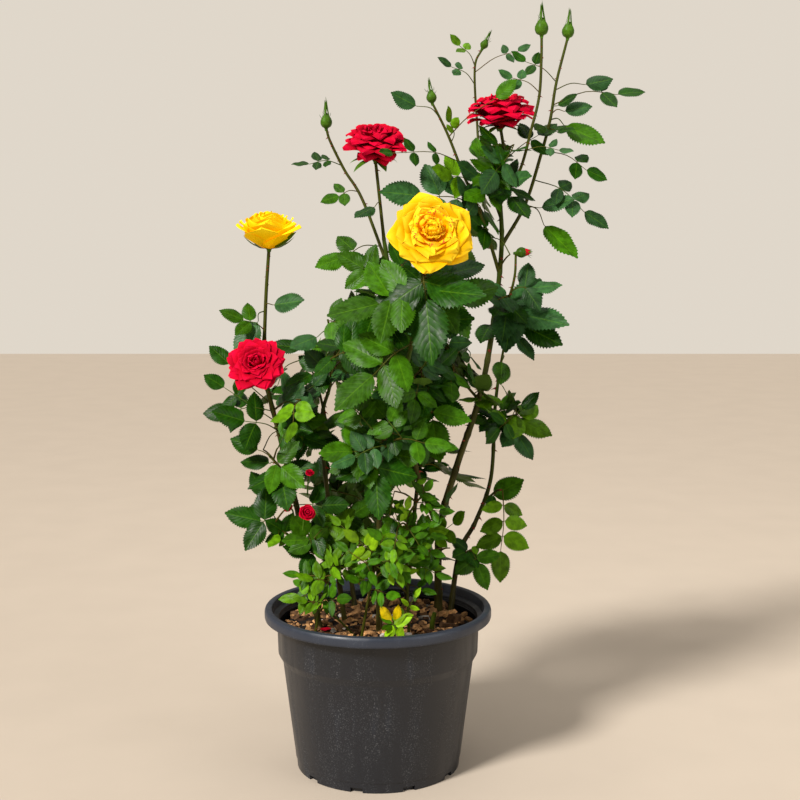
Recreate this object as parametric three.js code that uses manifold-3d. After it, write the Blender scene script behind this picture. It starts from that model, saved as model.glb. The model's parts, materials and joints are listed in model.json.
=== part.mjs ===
// A potted rose bush: a round nursery pot of bark mix, canes that rise out of it, and leafy
// shoots on the canes that end in roses and buds.
// Millimetres, +Z up, the front of the plant towards -Y. The origin is the middle of the
// pot's flat underside.

import * as THREE from 'three';
import { mergeVertices } from 'three/addons/utils/BufferGeometryUtils.js';
import Module from 'manifold-3d';

const wasm = await Module();
wasm.setup();

// Driving sizes of the pot.
const POT = {
  height: 201,
  rimRadius: 140,
  mouthRadius: 131,
  lipHeight: 13,
  collarRadius: 125,
  collarFoot: 146,
  stepDrop: 10,
  wallRadius: 118,
  baseRadius: 103,
  wall: 2.6,
  floor: 8,
  seamHeight: 13,
  seamDepth: 0.8,
  footInset: 2,
  collarTaper: 1.5,
  lipRound: 3,
  rimFall: 4,
  rimRound: 2.5,
  mouthRound: 1.5,
  sides: 36,
};
const NOTCH = { count: 10, width: 15, height: 6, depth: 7, turn: THREE.MathUtils.degToRad(-104) };

// The bark mix fills the pot to a level top that falls a little towards the wall.
const MIX = { level: 180, flatRadius: 108, edgeDrop: 5, rootDepth: 8 };
const SLAB = { side: 400, thick: 60 };

// Neighbouring pieces stay this far apart.
const GAP = 0.3;

// Canes are round bars of few sides, and the shoots' own stems of fewer.
const CANE_SIDES = 6;
const SHOOT_SIDES = 3;

// Leaves: a stalk with a leaflet at its end and pairs of leaflets along it. The solids carry
// half of a real leaf's pairs, rounded up, and their leaflets are fuller than life to match.
const LEAF = {
  fuller: 1.28,
  halfWidth: 0.4,
  widestAt: 0.45,
  thickShare: 0.03,
  leastThick: 1,
  stalkHalf: 1.1,
  stalkThick: 1.9,
  stalkArch: 0.1,
  pairSpacing: 0.3,
  lastPairAt: 0.75,
  pairShrink: 0.1,
  pairSize: 0.88,
  pairAngle: THREE.MathUtils.degToRad(72),
  pairTurn: 0.35,
  pairRise: 0.3,
  pairDroop: 0.6,
  longestShare: 0.8,
  sway: 0.5,
};
const PAIR_KEYS = { turn: 3, rise: 9 };

// Leaves turn up, outwards and towards the light in front of the plant.
const LIGHT = new THREE.Vector3(-0.16, -0.78, 0.6);
const OUTWARD = { pull: 0.4, sideShare: 0.8 };

// Seeded leaves stand round their shoot by two fifths of a turn each.
const SPIRAL = THREE.MathUtils.degToRad(144);
const SEEDED = {
  firstKey: 40,
  turnKey: 77,
  lowLift: -0.25,
  highLift: 0.55,
  liftRange: 0.4,
  smallest: 0.85,
  sizeRange: 0.3,
  shortest: 2.1,
  longRange: 0.6,
};
const NUDGE = { step: 9, tries: 7, keys: { x: 21, y: 22, z: 23 } };

// A rooted stem swells towards its foot.
const FOOT = { swell: 0.25, fade: 30 };

// A rose's hip, the lift of its petals over the stem's tip, and the top of its heart.
const HIP = { drop: 3, neck: 0.6, swell: 2.6 };
const PETAL_LIFT = 2;
const HEART_TOP = 0.9;

const FINISHES = {
  pot: { color: 0x333437, roughness: 0.5 },
  mix: { color: 0x5a3d28, roughness: 0.95 },
  cane: { color: 0x2e2f1d, roughness: 0.7 },
  leaf: { color: 0x2c5a17, roughness: 0.45 },
  youngLeaf: { color: 0x6f9a24, roughness: 0.45 },
};

const AXIS_UP = new THREE.Vector3(0, 0, 1);

// Canes: woody limbs that rise from the mix or from another cane. A route's first point is its
// foot; radii are at the foot and at the tip.
const CANES = [
  {
    name: 'main_cane',
    route: [[76, 50], [78, 50, 286], [99, 50, 367], [126, 50, 451], [142, 50, 537], [152, 38, 640],
      [148, 30, 712]],
    radii: [4.9, 2.5],
  },
  {
    name: 'middle_cane',
    parent: 'main_cane',
    share: 0.167,
    route: [[68, 44, 306], [48, 30, 365], [33, 10, 473], [25, 0, 550], [8, 0, 650]],
    radii: [3.5, 2.3],
  },
  {
    name: 'left_cane',
    route: [[-71, -20], [-88, -20, 281], [-106, -20, 362], [-117, -18, 411], [-135, -4, 481],
      [-137, 0, 530]],
    radii: [3.8, 2.5],
  },
  {
    name: 'front_cane',
    route: [[2, -40], [3, -55, 330], [16, -70, 426], [39, -90, 525]],
    radii: [3.6, 2.4],
  },
  {
    name: 'centre_left_cane',
    route: [[-41, 5], [-60, -8, 330], [-67, -18, 430], [-57, -20, 475]],
    radii: [3.1, 2.0],
  },
  {
    name: 'right_cane',
    route: [[90, 40], [103, 62, 251], [125, 78, 290], [145, 90, 345], [150, 100, 432],
      [155, 100, 480]],
    radii: [3.4, 2.0],
  },
  {
    name: 'back_left_cane',
    route: [[-30, 62], [-50, 92, 320], [-72, 108, 430]],
    radii: [3.2, 2.0],
  },
  {
    name: 'back_right_cane',
    route: [[34, 74], [50, 108, 330], [70, 124, 450]],
    radii: [3.2, 2.0],
  },
];

// Shoots: each is one mass of leaves on a stem of its own, from the mix or from a cane, and
// keeps within reach of its stem. Some end in a rose or a bud, with its radius, the way it
// faces and how deep a rose is as a share of its radius. A leaf is the share along the stem
// that it leaves from, where its tip reaches, the length of its end leaflet and its pairs of
// leaflets. Fill is how many seeded leaves follow, between two shares of the stem, and their
// leaflet length.
const SHOOTS = [
  {
    name: 'upper_rose_shoot',
    parent: 'main_cane', share: 1, radii: [2.5, 2.1], reach: 130,
    route: [[153, 30, 752], [149, 30, 784]],
    end: { kind: 'rose', radius: 42, deep: 0.95, axis: [-0.05, -0.22, 1] },
    leaves: [[0.1, [179, -12, 675], 34, 1], [0.25, [112, -22, 715], 30, 1],
      [0.4, [220, 64, 795], 26, 1], [0.55, [117, -34, 771], 30, 1],
      [0.04, [182, -16, 727], 32, 1], [0.5, [176, -18, 760], 30, 1],
      [0.35, [119, -26, 746], 28, 1], [0.02, [103, -16, 700], 30, 1]],
    fill: { count: 1, from: 0.05, to: 0.6, size: 30 },
  },
  {
    name: 'right_bud_shoot',
    parent: 'main_cane', share: 0.84, radii: [2.6, 1.8], reach: 190,
    route: [[182, 60, 693], [201, 60, 754], [212, 60, 797], [219, 60, 842], [232, 60, 895]],
    end: { kind: 'bud', radius: 6.6, axis: [0.08, 0, 1] },
    leaves: [[0.2, [241, 20, 628], 48, 0], [0.3, [284, 40, 665], 30, 2],
      [0.16, [240, 30, 701], 36, 0], [0.42, [285, 66, 725], 24, 1], [0.52, [237, 26, 783], 22, 1],
      [0.6, [277, 40, 767], 44, 0], [0.68, [332, 80, 835], 30, 1], [0.76, [291, 70, 847], 30, 0],
      [0.8, [163, 62, 879], 18, 1], [0.56, [188, 30, 783], 26, 0], [0.66, [244, 50, 827], 28, 0],
      [0.63, [263, 56, 814], 28, 0]],
  },
  {
    name: 'tall_bud_shoot',
    parent: 'main_cane', share: 0.955, radii: [2.1, 1.8], reach: 150,
    route: [[171, 12, 733], [183, 0, 780], [192, 0, 819], [194, 0, 861], [194, 0, 889]],
    end: { kind: 'bud', radius: 7, axis: [0, 0, 1] },
    leaves: [[0.62, [143, 0, 849], 16, 1], [0.3, [232, -16, 755], 15, 1]],
  },
  {
    name: 'small_bud_shoot',
    parent: 'main_cane', share: 0.91, radii: [1.9, 1.5], reach: 170,
    route: [[128, 56, 742], [123, 80, 798], [120, 80, 862], [129, 80, 885]],
    end: { kind: 'bud', radius: 4.4, axis: [0.5, 0, 1] },
    leaves: [[0.76, [90, 80, 903], 15, 1], [0.66, [74, 70, 874], 17, 1],
      [0.72, [190, 90, 891], 15, 1]],
    fill: { count: 1, from: 0.1, to: 0.5, size: 28 },
  },
  {
    name: 'middle_bud_shoot',
    parent: 'main_cane', share: 0.78, radii: [2.5, 1.6], reach: 170,
    route: [[128, 20, 672], [104, 20, 728], [85, 20, 775], [66, 20, 813]],
    end: { kind: 'bud', radius: 5.4, axis: [-0.15, 0, 1] },
    leaves: [[0.88, [16, 10, 824], 28, 0], [0.74, [165, -14, 836], 27, 0],
      [0.58, [2, -60, 751], 18, 2], [0.32, [4, -22, 710], 44, 2], [0.45, [66, -20, 736], 28, 1],
      [0.7, [85, -6, 807], 18, 1], [0.2, [106, -10, 681], 32, 1], [0.28, [94, -10, 725], 28, 1]],
    fill: { count: 1, from: 0.05, to: 0.5, size: 32 },
  },
  {
    name: 'middle_rose_shoot',
    parent: 'middle_cane', share: 1, radii: [2.3, 2.1], reach: 120,
    route: [[3, 0, 697], [-2, 0, 744]],
    end: { kind: 'rose', radius: 38, deep: 1.08, axis: [0.03, -0.42, 1] },
    leaves: [[0.45, [-28, -28, 677], 34, 0]],
  },
  {
    name: 'left_bud_shoot',
    parent: 'middle_cane', share: 0.93, radii: [2.2, 1.7], reach: 130,
    route: [[-18, 20, 698], [-40, 30, 734], [-57, 30, 768], [-62, 30, 784]],
    end: { kind: 'bud', radius: 6.2, axis: [0, 0, 1] },
    leaves: [[0.54, [-104, 20, 742], 18, 2], [0.3, [-69, 10, 697], 20, 1],
      [0.08, [-74, -20, 619], 32, 1]],
  },
  {
    name: 'yellow_rose_shoot',
    parent: 'front_cane', share: 1, radii: [2.4, 2.2], reach: 170,
    route: [[50, -99, 590], [62, -104, 654]],
    end: { kind: 'rose', radius: 48, deep: 0.6, axis: [0.08, -0.9, 0.42] },
    leaves: [[0.66, [63, -142, 514], 64, 2], [0.5, [-54, -118, 565], 50, 2],
      [0.06, [-48, -130, 463], 50, 2], [0.4, [142, -58, 595], 50, 2],
      [0.24, [112, -96, 562], 44, 1], [0.62, [118, -84, 625], 36, 1]],
  },
  {
    name: 'yellow_side_shoot',
    parent: 'left_cane', share: 1, radii: [2.5, 2.3], reach: 110,
    route: [[-134, 0, 588], [-130, 0, 640]],
    end: { kind: 'rose', radius: 39, deep: 1.12, axis: [0.02, -0.12, 1] },
    leaves: [[0.35, [-87, -20, 578], 40, 0], [0.1, [-189, -8, 568], 26, 1],
      [0.3, [-170, -10, 514], 38, 0]],
  },
  {
    name: 'front_rose_shoot',
    parent: 'left_cane', share: 0.6, radii: [2.3, 2.0], reach: 130,
    route: [[-126, -34, 456], [-139, -46, 499]],
    end: { kind: 'rose', radius: 36, deep: 0.66, axis: [-0.12, -0.82, 0.56] },
    leaves: [[0.4, [-211, -12, 444], 30, 1], [0.25, [-209, -8, 489], 24, 1],
      [0.12, [-193, -62, 451], 36, 1], [0.5, [-202, -8, 524], 28, 0],
      [0.2, [-58, -44, 498], 22, 2]],
    fill: { count: 1, from: 0.05, to: 0.5, size: 30 },
  },
  {
    name: 'left_middle_shoot',
    parent: 'left_cane', share: 0.4, radii: [2.1, 1.5], reach: 120,
    route: [[-116, -44, 382], [-127, -58, 398]],
    leaves: [[1, [-173, -44, 418], 30, 0], [0.6, [-164, -26, 388], 34, 0],
      [0.5, [-103, -88, 338], 40, 1], [0.9, [-84, -84, 364], 34, 1]],
  },
  {
    name: 'left_lower_shoot',
    parent: 'left_cane', share: 0.2, radii: [2.1, 1.5], reach: 120,
    route: [[-108, -36, 298], [-126, -46, 314]],
    leaves: [[1, [-183, -42, 326], 38, 1], [0.7, [-129, -62, 288], 28, 0],
      [0.56, [-153, -18, 372], 28, 1], [0.44, [-119, -34, 283], 28, 0],
      [0.5, [-131, -56, 321], 24, 1]],
  },
  {
    name: 'centre_left_shoot',
    parent: 'centre_left_cane', share: 1, radii: [2.0, 1.4], reach: 110,
    route: [[-51, -20, 517], [-59, -20, 556]],
    leaves: [[0.5, [-127, -18, 526], 30, 0], [0.3, [-110, -38, 478], 30, 1],
      [0.8, [-103, -52, 526], 32, 0], [0.95, [-23, -40, 558], 32, 1],
      [0.12, [-84, -34, 523], 36, 0]],
  },
  {
    name: 'middle_leaf_shoot',
    parent: 'middle_cane', share: 0.8, radii: [2.0, 1.5], reach: 110,
    route: [[10, -18, 572], [2, -26, 590]],
    leaves: [[1, [-30, -22, 636], 40, 0], [0.8, [7, -50, 632], 30, 0],
      [0.5, [-21, -60, 540], 38, 1]],
    fill: { count: 1, from: 0.3, to: 0.9, size: 34 },
  },
  {
    name: 'side_bud_shoot',
    parent: 'main_cane', share: 0.69, radii: [2.1, 1.6], reach: 120,
    route: [[160, 32, 578], [167, 22, 606], [168, 20, 634]],
    end: { kind: 'bud', radius: 5.6, axis: [1, 0, 0.1] },
    leaves: [[0.45, [225, 20, 597], 32, 1], [0.16, [232, 4, 548], 54, 2],
      [0.08, [194, 22, 505], 30, 1], [0.3, [140, -20, 560], 34, 1], [0.12, [225, 12, 522], 44, 0],
      [0.02, [122, 6, 526], 34, 0]],
    fill: { count: 1, from: 0.1, to: 0.5, size: 32 },
  },
  {
    name: 'right_leaf_shoot',
    parent: 'right_cane', share: 1, radii: [2.0, 1.4], reach: 110,
    route: [[161, 98, 516], [164, 96, 545]],
    leaves: [[0.3, [154, 60, 470], 40, 0], [1, [197, 84, 588], 28, 1]],
  },
  {
    name: 'right_middle_shoot',
    parent: 'right_cane', share: 0.78, radii: [1.9, 1.4], reach: 120,
    route: [[164, 92, 424], [178, 84, 428]],
    leaves: [[1, [205, 86, 457], 30, 0], [0.8, [220, 70, 401], 38, 2],
      [0.5, [198, 72, 372], 32, 1], [0.3, [128, 60, 409], 34, 1], [0.1, [111, 66, 423], 28, 1]],
    fill: { count: 1, from: 0.2, to: 0.9, size: 30 },
  },
  {
    name: 'right_hanging_shoot',
    parent: 'right_cane', share: 0.5, radii: [1.9, 1.4], reach: 150,
    route: [[150, 72, 330], [158, 64, 334]],
    leaves: [[0.04, [185, 78, 346], 42, 0], [1, [155, 58, 214], 34, 3],
      [0.5, [138, 60, 308], 36, 0]],
  },
  {
    name: 'right_foot_shoot',
    parent: 'right_cane', share: 0.2, radii: [1.9, 1.4], reach: 100,
    route: [[112, 42, 258], [116, 28, 264]],
    leaves: [[1, [138, 16, 216], 30, 1], [0.6, [136, 40, 245], 26, 1], [0.8, [92, 6, 261], 24, 1]],
  },
  {
    name: 'dark_twig_shoot',
    parent: 'main_cane', share: 0.5, radii: [2.0, 1.4], reach: 120,
    route: [[104, 24, 478], [90, 6, 500], [84, 0, 522]],
    leaves: [[0.5, [75, 30, 468], 24, 2], [0.8, [62, -8, 504], 24, 2], [1, [95, -12, 560], 26, 2]],
    fill: { count: 2, from: 0.2, to: 0.95, size: 26 },
  },
  {
    name: 'centre_right_shoot',
    parent: 'middle_cane', share: 0.6, radii: [2.1, 1.5], reach: 130,
    route: [[48, -14, 470], [62, -36, 466]],
    leaves: [[1, [73, -66, 390], 44, 1], [0.8, [104, -40, 440], 40, 1], [0.5, [30, -58, 450], 34, 1]],
    fill: { count: 2, from: 0.2, to: 0.9, size: 32 },
  },
  {
    name: 'centre_front_shoot',
    parent: 'front_cane', share: 0.6, radii: [2.1, 1.5], reach: 130,
    route: [[6, -84, 406], [0, -96, 404]],
    leaves: [[1, [1, -120, 334], 44, 1], [0.7, [-56, -92, 386], 36, 2], [0.4, [52, -104, 400], 30, 1]],
    fill: { count: 1, from: 0.2, to: 0.9, size: 32 },
  },
  {
    name: 'lower_right_shoot',
    parent: 'main_cane', share: 0.09, radii: [2.2, 1.5], reach: 110,
    route: [[66, 22, 262], [54, -8, 290]],
    leaves: [[1, [60, -40, 322], 30, 2], [0.7, [107, -20, 322], 20, 2]],
    fill: { count: 1, from: 0.2, to: 0.9, size: 28 },
  },
  {
    name: 'lower_left_shoot',
    parent: 'centre_left_cane', share: 0.2, radii: [2.2, 1.5], reach: 110,
    route: [[-62, -30, 262], [-74, -48, 290]],
    leaves: [[1, [-100, -78, 330], 32, 2], [0.7, [-112, -52, 288], 28, 1]],
    fill: { count: 2, from: 0.2, to: 0.9, size: 28 },
  },
  {
    name: 'lower_back_shoot',
    parent: 'back_left_cane', share: 0.35, radii: [2.1, 1.5], reach: 120,
    route: [[-64, 78, 300], [-84, 66, 330]],
    fill: { count: 3, from: 0.15, to: 1, size: 34 },
  },
  {
    name: 'back_left_shoot',
    parent: 'back_left_cane', share: 1, radii: [2.0, 1.4], reach: 120,
    route: [[-82, 106, 480], [-84, 98, 528]],
    fill: { count: 5, from: 0.02, to: 1, size: 38 },
  },
  {
    name: 'back_right_shoot',
    parent: 'back_right_cane', share: 1, radii: [2.0, 1.4], reach: 120,
    route: [[76, 122, 500], [80, 112, 556]],
    fill: { count: 5, from: 0.02, to: 1, size: 38 },
  },
  {
    name: 'back_middle_shoot',
    parent: 'back_right_cane', share: 0.5, radii: [2.0, 1.4], reach: 120,
    route: [[30, 96, 350], [12, 82, 390]],
    fill: { count: 4, from: 0.28, to: 0.98, size: 34 },
  },
  {
    name: 'young_left_shoot',
    young: true, radii: [2.0, 1.3], reach: 110,
    route: [[-76, -62], [-66, -66, 225], [-52, -72, 262]],
    leaves: [[1, [-46, -104, 290], 26, 2], [0.8, [-96, -88, 262], 26, 2],
      [0.6, [-118, -60, 224], 28, 1], [0.5, [-30, -96, 236], 24, 2]],
    fill: { count: 1, from: 0.5, to: 0.95, size: 24 },
  },
  {
    name: 'young_middle_shoot',
    young: true, radii: [2.0, 1.3], reach: 120,
    route: [[-20, -66], [-8, -74, 240], [4, -80, 292]],
    leaves: [[1, [14, -104, 330], 26, 2], [0.9, [-38, -100, 318], 26, 2],
      [0.75, [44, -104, 290], 26, 2], [0.6, [-36, -106, 262], 24, 2], [0.5, [28, -108, 240], 24, 2]],
    fill: { count: 1, from: 0.5, to: 0.95, size: 24 },
  },
  {
    name: 'young_right_shoot',
    young: true, radii: [1.9, 1.2], reach: 120,
    route: [[38, -52], [36, -60, 250], [36, -64, 320], [52, -70, 352]],
    leaves: [[1, [66, -84, 374], 22, 2], [0.75, [22, -90, 346], 20, 1], [0.62, [62, -92, 322], 22, 2],
      [0.5, [56, -96, 282], 24, 2], [0.4, [10, -84, 250], 22, 2]],
    fill: { count: 1, from: 0.3, to: 0.8, size: 24 },
  },
  {
    name: 'rim_leaf_shoot',
    young: true, radii: [1.5, 1.1], reach: 70,
    route: [[22, -78], [20, -84, 202]],
    leaves: [[1, [6, -104, 200], 24, 1], [0.9, [52, -100, 200], 26, 2]],
  },
];

// A repeatable number from 0 to 1 for a set of whole numbers.
function chance(...keys) {
  let mixed = 2166136261;
  for (const key of keys) {
    mixed = Math.imul(mixed ^ (key + 374761393), 16777619);
    mixed = Math.imul(mixed ^ (mixed >>> 15), 2246822519);
    mixed ^= mixed >>> 13;
  }
  return (mixed >>> 0) / 4294967296;
}

// Closed geometry to solid, without the flat triangles that a lathe leaves on its axis.
function toSolid(geometry) {
  const bare = new THREE.BufferGeometry();
  bare.setAttribute('position', geometry.getAttribute('position'));
  if (geometry.index) {
    bare.setIndex(geometry.index);
  }
  const merged = mergeVertices(bare, 1e-4);
  const index = merged.index.array;
  const kept = [];
  for (let i = 0; i < index.length; i += 3) {
    const [a, b, c] = [index[i], index[i + 1], index[i + 2]];
    if (a !== b && b !== c && c !== a) {
      kept.push(a, b, c);
    }
  }
  const mesh = new wasm.Mesh({
    numProp: 3,
    vertProperties: new Float32Array(merged.getAttribute('position').array),
    triVerts: new Uint32Array(kept),
  });
  return new wasm.Manifold(mesh);
}

function toGeometry(solid) {
  const mesh = solid.getMesh();
  const geometry = new THREE.BufferGeometry();
  geometry.setAttribute('position', new THREE.BufferAttribute(mesh.vertProperties, 3));
  geometry.setIndex(new THREE.BufferAttribute(mesh.triVerts, 1));
  geometry.computeVertexNormals();
  return geometry;
}

// The largest piece of a solid, without loose scraps.
function mainPiece(solid) {
  const pieces = solid.decompose();
  return pieces.reduce((best, piece) => (piece.volume() > best.volume() ? piece : best));
}

function vector([x, y, z = 0]) {
  return new THREE.Vector3(x, y, z);
}

// The world axis that a line from one point to another follows least.
function crossAxis(from, to) {
  const span = to.clone().sub(from);
  const axes = [new THREE.Vector3(1, 0, 0), new THREE.Vector3(0, 1, 0), AXIS_UP.clone()];
  return axes.reduce((best, axis) => (
    Math.abs(axis.dot(span)) < Math.abs(best.dot(span)) ? axis : best
  ));
}

// A round bar bent along a curve, with its radius given by a function of the share along it.
function bentBar(curve, radiusAt, sides, steps) {
  const bar = new THREE.CylinderGeometry(1, 1, 1, sides, steps);
  const position = bar.getAttribute('position');
  const across = crossAxis(curve.getPoint(0), curve.getPoint(1));
  const point = new THREE.Vector3();
  for (let i = 0; i < position.count; i += 1) {
    point.fromBufferAttribute(position, i);
    const share = THREE.MathUtils.clamp(point.y + 0.5, 0, 1);
    const tangent = curve.getTangent(share);
    const side = across.clone().cross(tangent).normalize();
    const front = side.clone().cross(tangent);
    const radius = radiusAt(share);
    const centre = curve.getPoint(share);
    centre.addScaledVector(side, point.x * radius).addScaledVector(front, point.z * radius);
    position.setXYZ(i, centre.x, centre.y, centre.z);
  }
  return bar;
}

function stemCurve(points) {
  return new THREE.CatmullRomCurve3(points, false, 'catmullrom', 0.5);
}

// A tapering stem, swollen a little at a foot that stands in the mix.
function stemSolid(stem, grow) {
  const [foot, tip] = stem.radii;
  const radiusAt = (share) => {
    const flare = stem.rooted ? FOOT.swell * foot * Math.exp(-share * FOOT.fade) : 0;
    return THREE.MathUtils.lerp(foot, tip, share) + flare + grow;
  };
  let curve = stem.curve;
  if (grow > 0) {
    const ends = curve.points.map((point) => point.clone());
    const last = ends.length - 1;
    ends[last].addScaledVector(curve.getTangent(1), grow);
    curve = stemCurve(ends);
  }
  return toSolid(bentBar(curve, radiusAt, stem.sides, stem.steps));
}

// A thin three-cornered blade lofted through sections, each with its centre, the way it runs,
// its upper side, its half width and its thickness. A section with no width is a point.
function bladeGeometry(sections, grow) {
  const blade = new THREE.CylinderGeometry(1, 1, 1, 3, sections.length - 1);
  const position = blade.getAttribute('position');
  const corner = new THREE.Vector3();
  const cornerReach = Math.sin(Math.PI / 3);
  for (let i = 0; i < position.count; i += 1) {
    corner.fromBufferAttribute(position, i);
    const number = Math.round((corner.y + 0.5) * (sections.length - 1));
    const { centre, along, up, half, thick } = sections[number];
    const across = along.clone().cross(up).normalize();
    const middle = Math.abs(corner.x) < 1e-6 && Math.abs(corner.z) < 1e-6;
    const sideways = middle ? 0 : (corner.x / cornerReach) * (half + 2 * grow);
    const raised = middle ? thick / 3 : ((corner.z + 0.5) / 1.5) * (thick + 3 * grow) - grow;
    const placed = centre.clone().addScaledVector(across, sideways).addScaledVector(up, raised);
    position.setXYZ(i, placed.x, placed.y, placed.z);
  }
  return blade;
}

// The sections of a leaflet after its root: its widest place, then its tip.
function leafletSections(root, direction, up, length) {
  return [
    {
      centre: root.clone().addScaledVector(direction, LEAF.widestAt * length),
      along: direction,
      up,
      half: LEAF.halfWidth * length,
      thick: Math.max(LEAF.thickShare * length, LEAF.leastThick),
    },
    { centre: root.clone().addScaledVector(direction, length), along: direction, up, half: 0, thick: 0 },
  ];
}

// Where a leaf's blades lie, from its root, its tip and its size: one blade is the stalk with
// its end leaflet, and each of the others is a leaflet rooted inside the stalk.
function leafPlan(root, tip, size, pairs, keys) {
  const direction = tip.clone().sub(root).normalize();
  const outward = new THREE.Vector3(tip.x * OUTWARD.sideShare, tip.y, 0).normalize();
  const up = LIGHT.clone().addScaledVector(outward, OUTWARD.pull);
  up.x += (chance(...keys, 1) - 0.5) * LEAF.sway;
  up.y += (chance(...keys, 2) - 0.5) * LEAF.sway;
  up.addScaledVector(direction, -up.dot(direction)).normalize();
  const side = direction.clone().cross(up);
  const reach = root.distanceTo(tip);
  const full = size * LEAF.fuller;
  const length = Math.min(full, reach * LEAF.longestShare);
  const last = tip.clone().addScaledVector(direction, -length);
  const bow = root.clone().lerp(last, 0.5).addScaledVector(up, LEAF.stalkArch * reach);
  const stalk = { half: LEAF.stalkHalf, thick: LEAF.stalkThick, up };
  const blades = [[
    { centre: root, along: bow.clone().sub(root).normalize(), ...stalk },
    { centre: bow, along: direction, ...stalk },
    { centre: last, along: direction, ...stalk },
    ...leafletSections(last, direction, up, length),
  ]];
  for (let pair = 0; pair < Math.ceil(pairs / 2); pair += 1) {
    const share = LEAF.lastPairAt - pair * LEAF.pairSpacing;
    const centre = share < 0.5
      ? root.clone().lerp(bow, share * 2)
      : bow.clone().lerp(last, share * 2 - 1);
    const long = full * (LEAF.pairSize - pair * LEAF.pairShrink);
    const joint = centre.clone().addScaledVector(up, LEAF.stalkThick / 3);
    for (const hand of [-1, 1]) {
      const turn = chance(...keys, PAIR_KEYS.turn + pair, hand + 1) - 0.5;
      const rise = chance(...keys, PAIR_KEYS.rise + pair, hand + 1) - LEAF.pairDroop;
      const angle = LEAF.pairAngle + turn * LEAF.pairTurn;
      const lift = rise * LEAF.pairRise;
      const aim = direction.clone().multiplyScalar(Math.cos(angle));
      aim.addScaledVector(side, hand * Math.sin(angle)).addScaledVector(up, lift).normalize();
      blades.push([
        { centre: joint, along: aim, up, half: 0, thick: 0 },
        ...leafletSections(joint, aim, up, long),
      ]);
    }
  }
  return blades;
}

function leafSolid(blades, grow) {
  const solids = blades.map((sections) => toSolid(bladeGeometry(sections, grow)));
  return solids.reduce((whole, blade) => whole.add(blade));
}

// Turns a geometry made along +Z to an axis and sets it at a place.
function stand(geometry, place, axis) {
  const turn = new THREE.Quaternion().setFromUnitVectors(AXIS_UP, axis.clone().normalize());
  geometry.applyQuaternion(turn);
  geometry.translate(place.x, place.y, place.z);
  return geometry;
}

function turned(profile, sides) {
  const points = profile.map(([radius, height]) => new THREE.Vector2(radius, height));
  const lathe = new THREE.LatheGeometry(points, sides);
  lathe.rotateX(Math.PI / 2);
  return lathe;
}

// A rose: a green hip, then three tiers of petals that open out of each other. Each row is a
// share of the radius, a share of the depth, and how far the petals' tips stand out of it.
const ROSE_ROWS = [
  [0.34, 0.12, 0], [0.74, 0.16, 0.04], [0.96, 0.3, 0.1], [0.64, 0.38, 0], [0.82, 0.64, -0.08],
  [0.44, 0.66, 0], [0.56, 0.92, 0.08], [0.2, 0.8, 0],
];
const ROSE_SIDES = 10;

function roseSolid(place, axis, radius, stemRadius, depthShare) {
  const deep = radius * depthShare;
  const hip = [
    [0, -HIP.drop], [stemRadius + HIP.neck, -HIP.drop], [stemRadius + HIP.swell, HIP.drop],
  ];
  const rows = ROSE_ROWS.map(([out, up]) => [out * radius, up * deep + PETAL_LIFT]);
  const flower = turned([...hip, ...rows, [0, HEART_TOP * deep + PETAL_LIFT]], ROSE_SIDES);
  const position = flower.getAttribute('position');
  const count = hip.length + rows.length + 1;
  for (let i = 0; i < position.count; i += 1) {
    const row = (i % count) - hip.length;
    const ripple = ROSE_ROWS[row]?.[2] ?? 0;
    const swell = 1 + (Math.floor(i / count) % 2 ? -ripple : ripple);
    position.setXYZ(i, position.getX(i) * swell, position.getY(i) * swell, position.getZ(i));
  }
  return toSolid(stand(flower, place, axis));
}

// A closed bud: hip, swollen body and the long point of its folded sepals. Each row is a radius
// and a height as shares of the bud's radius.
const BUD_ROWS = [[0.5, 0.5], [1, 1.5], [0.74, 2.6], [0.26, 3.6], [0, 6]];
const BUD = { sides: 6, foot: 2 };

function budSolid(place, axis, radius, stemRadius) {
  const rows = BUD_ROWS.map(([out, up]) => [out * radius, up * radius]);
  const bud = turned([[0, -BUD.foot], [stemRadius, -BUD.foot], ...rows], BUD.sides);
  return toSolid(stand(bud, place, axis));
}

function potSolid() {
  const { height, rimRadius, mouthRadius, lipHeight, collarRadius, collarFoot, stepDrop } = POT;
  const { wallRadius, baseRadius, wall, floor, seamHeight, seamDepth, footInset } = POT;
  const { collarTaper, lipRound, rimFall, rimRound, mouthRound, sides } = POT;
  const lipFoot = height - lipHeight;
  const profile = [
    [0, 0],
    [baseRadius - footInset, 0],
    [baseRadius - seamDepth, seamHeight],
    [baseRadius, seamHeight + seamDepth],
    [wallRadius, collarFoot - stepDrop],
    [collarRadius - collarTaper, collarFoot],
    [collarRadius, lipFoot],
    [rimRadius - rimRound, lipFoot],
    [rimRadius, lipFoot + lipRound],
    [rimRadius, height - rimFall],
    [rimRadius - rimRound, height],
    [mouthRadius + mouthRound, height],
    [mouthRadius, height - mouthRound],
    [mouthRadius - mouthRound, lipFoot + lipRound],
    [collarRadius - wall, lipFoot - mouthRound],
    [collarRadius - collarTaper - wall, collarFoot],
    [wallRadius - wall, collarFoot - stepDrop],
    [baseRadius - wall - 1, floor],
    [0, floor],
  ];
  let solid = toSolid(turned(profile, sides));
  for (let i = 0; i < NOTCH.count; i += 1) {
    const turn = NOTCH.turn + (i * 2 * Math.PI) / NOTCH.count;
    const notch = new THREE.BoxGeometry(2 * NOTCH.depth, NOTCH.width, 2 * NOTCH.height);
    notch.translate(baseRadius, 0, 0);
    notch.rotateZ(turn);
    solid = solid.subtract(toSolid(notch));
  }
  return solid;
}

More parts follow.
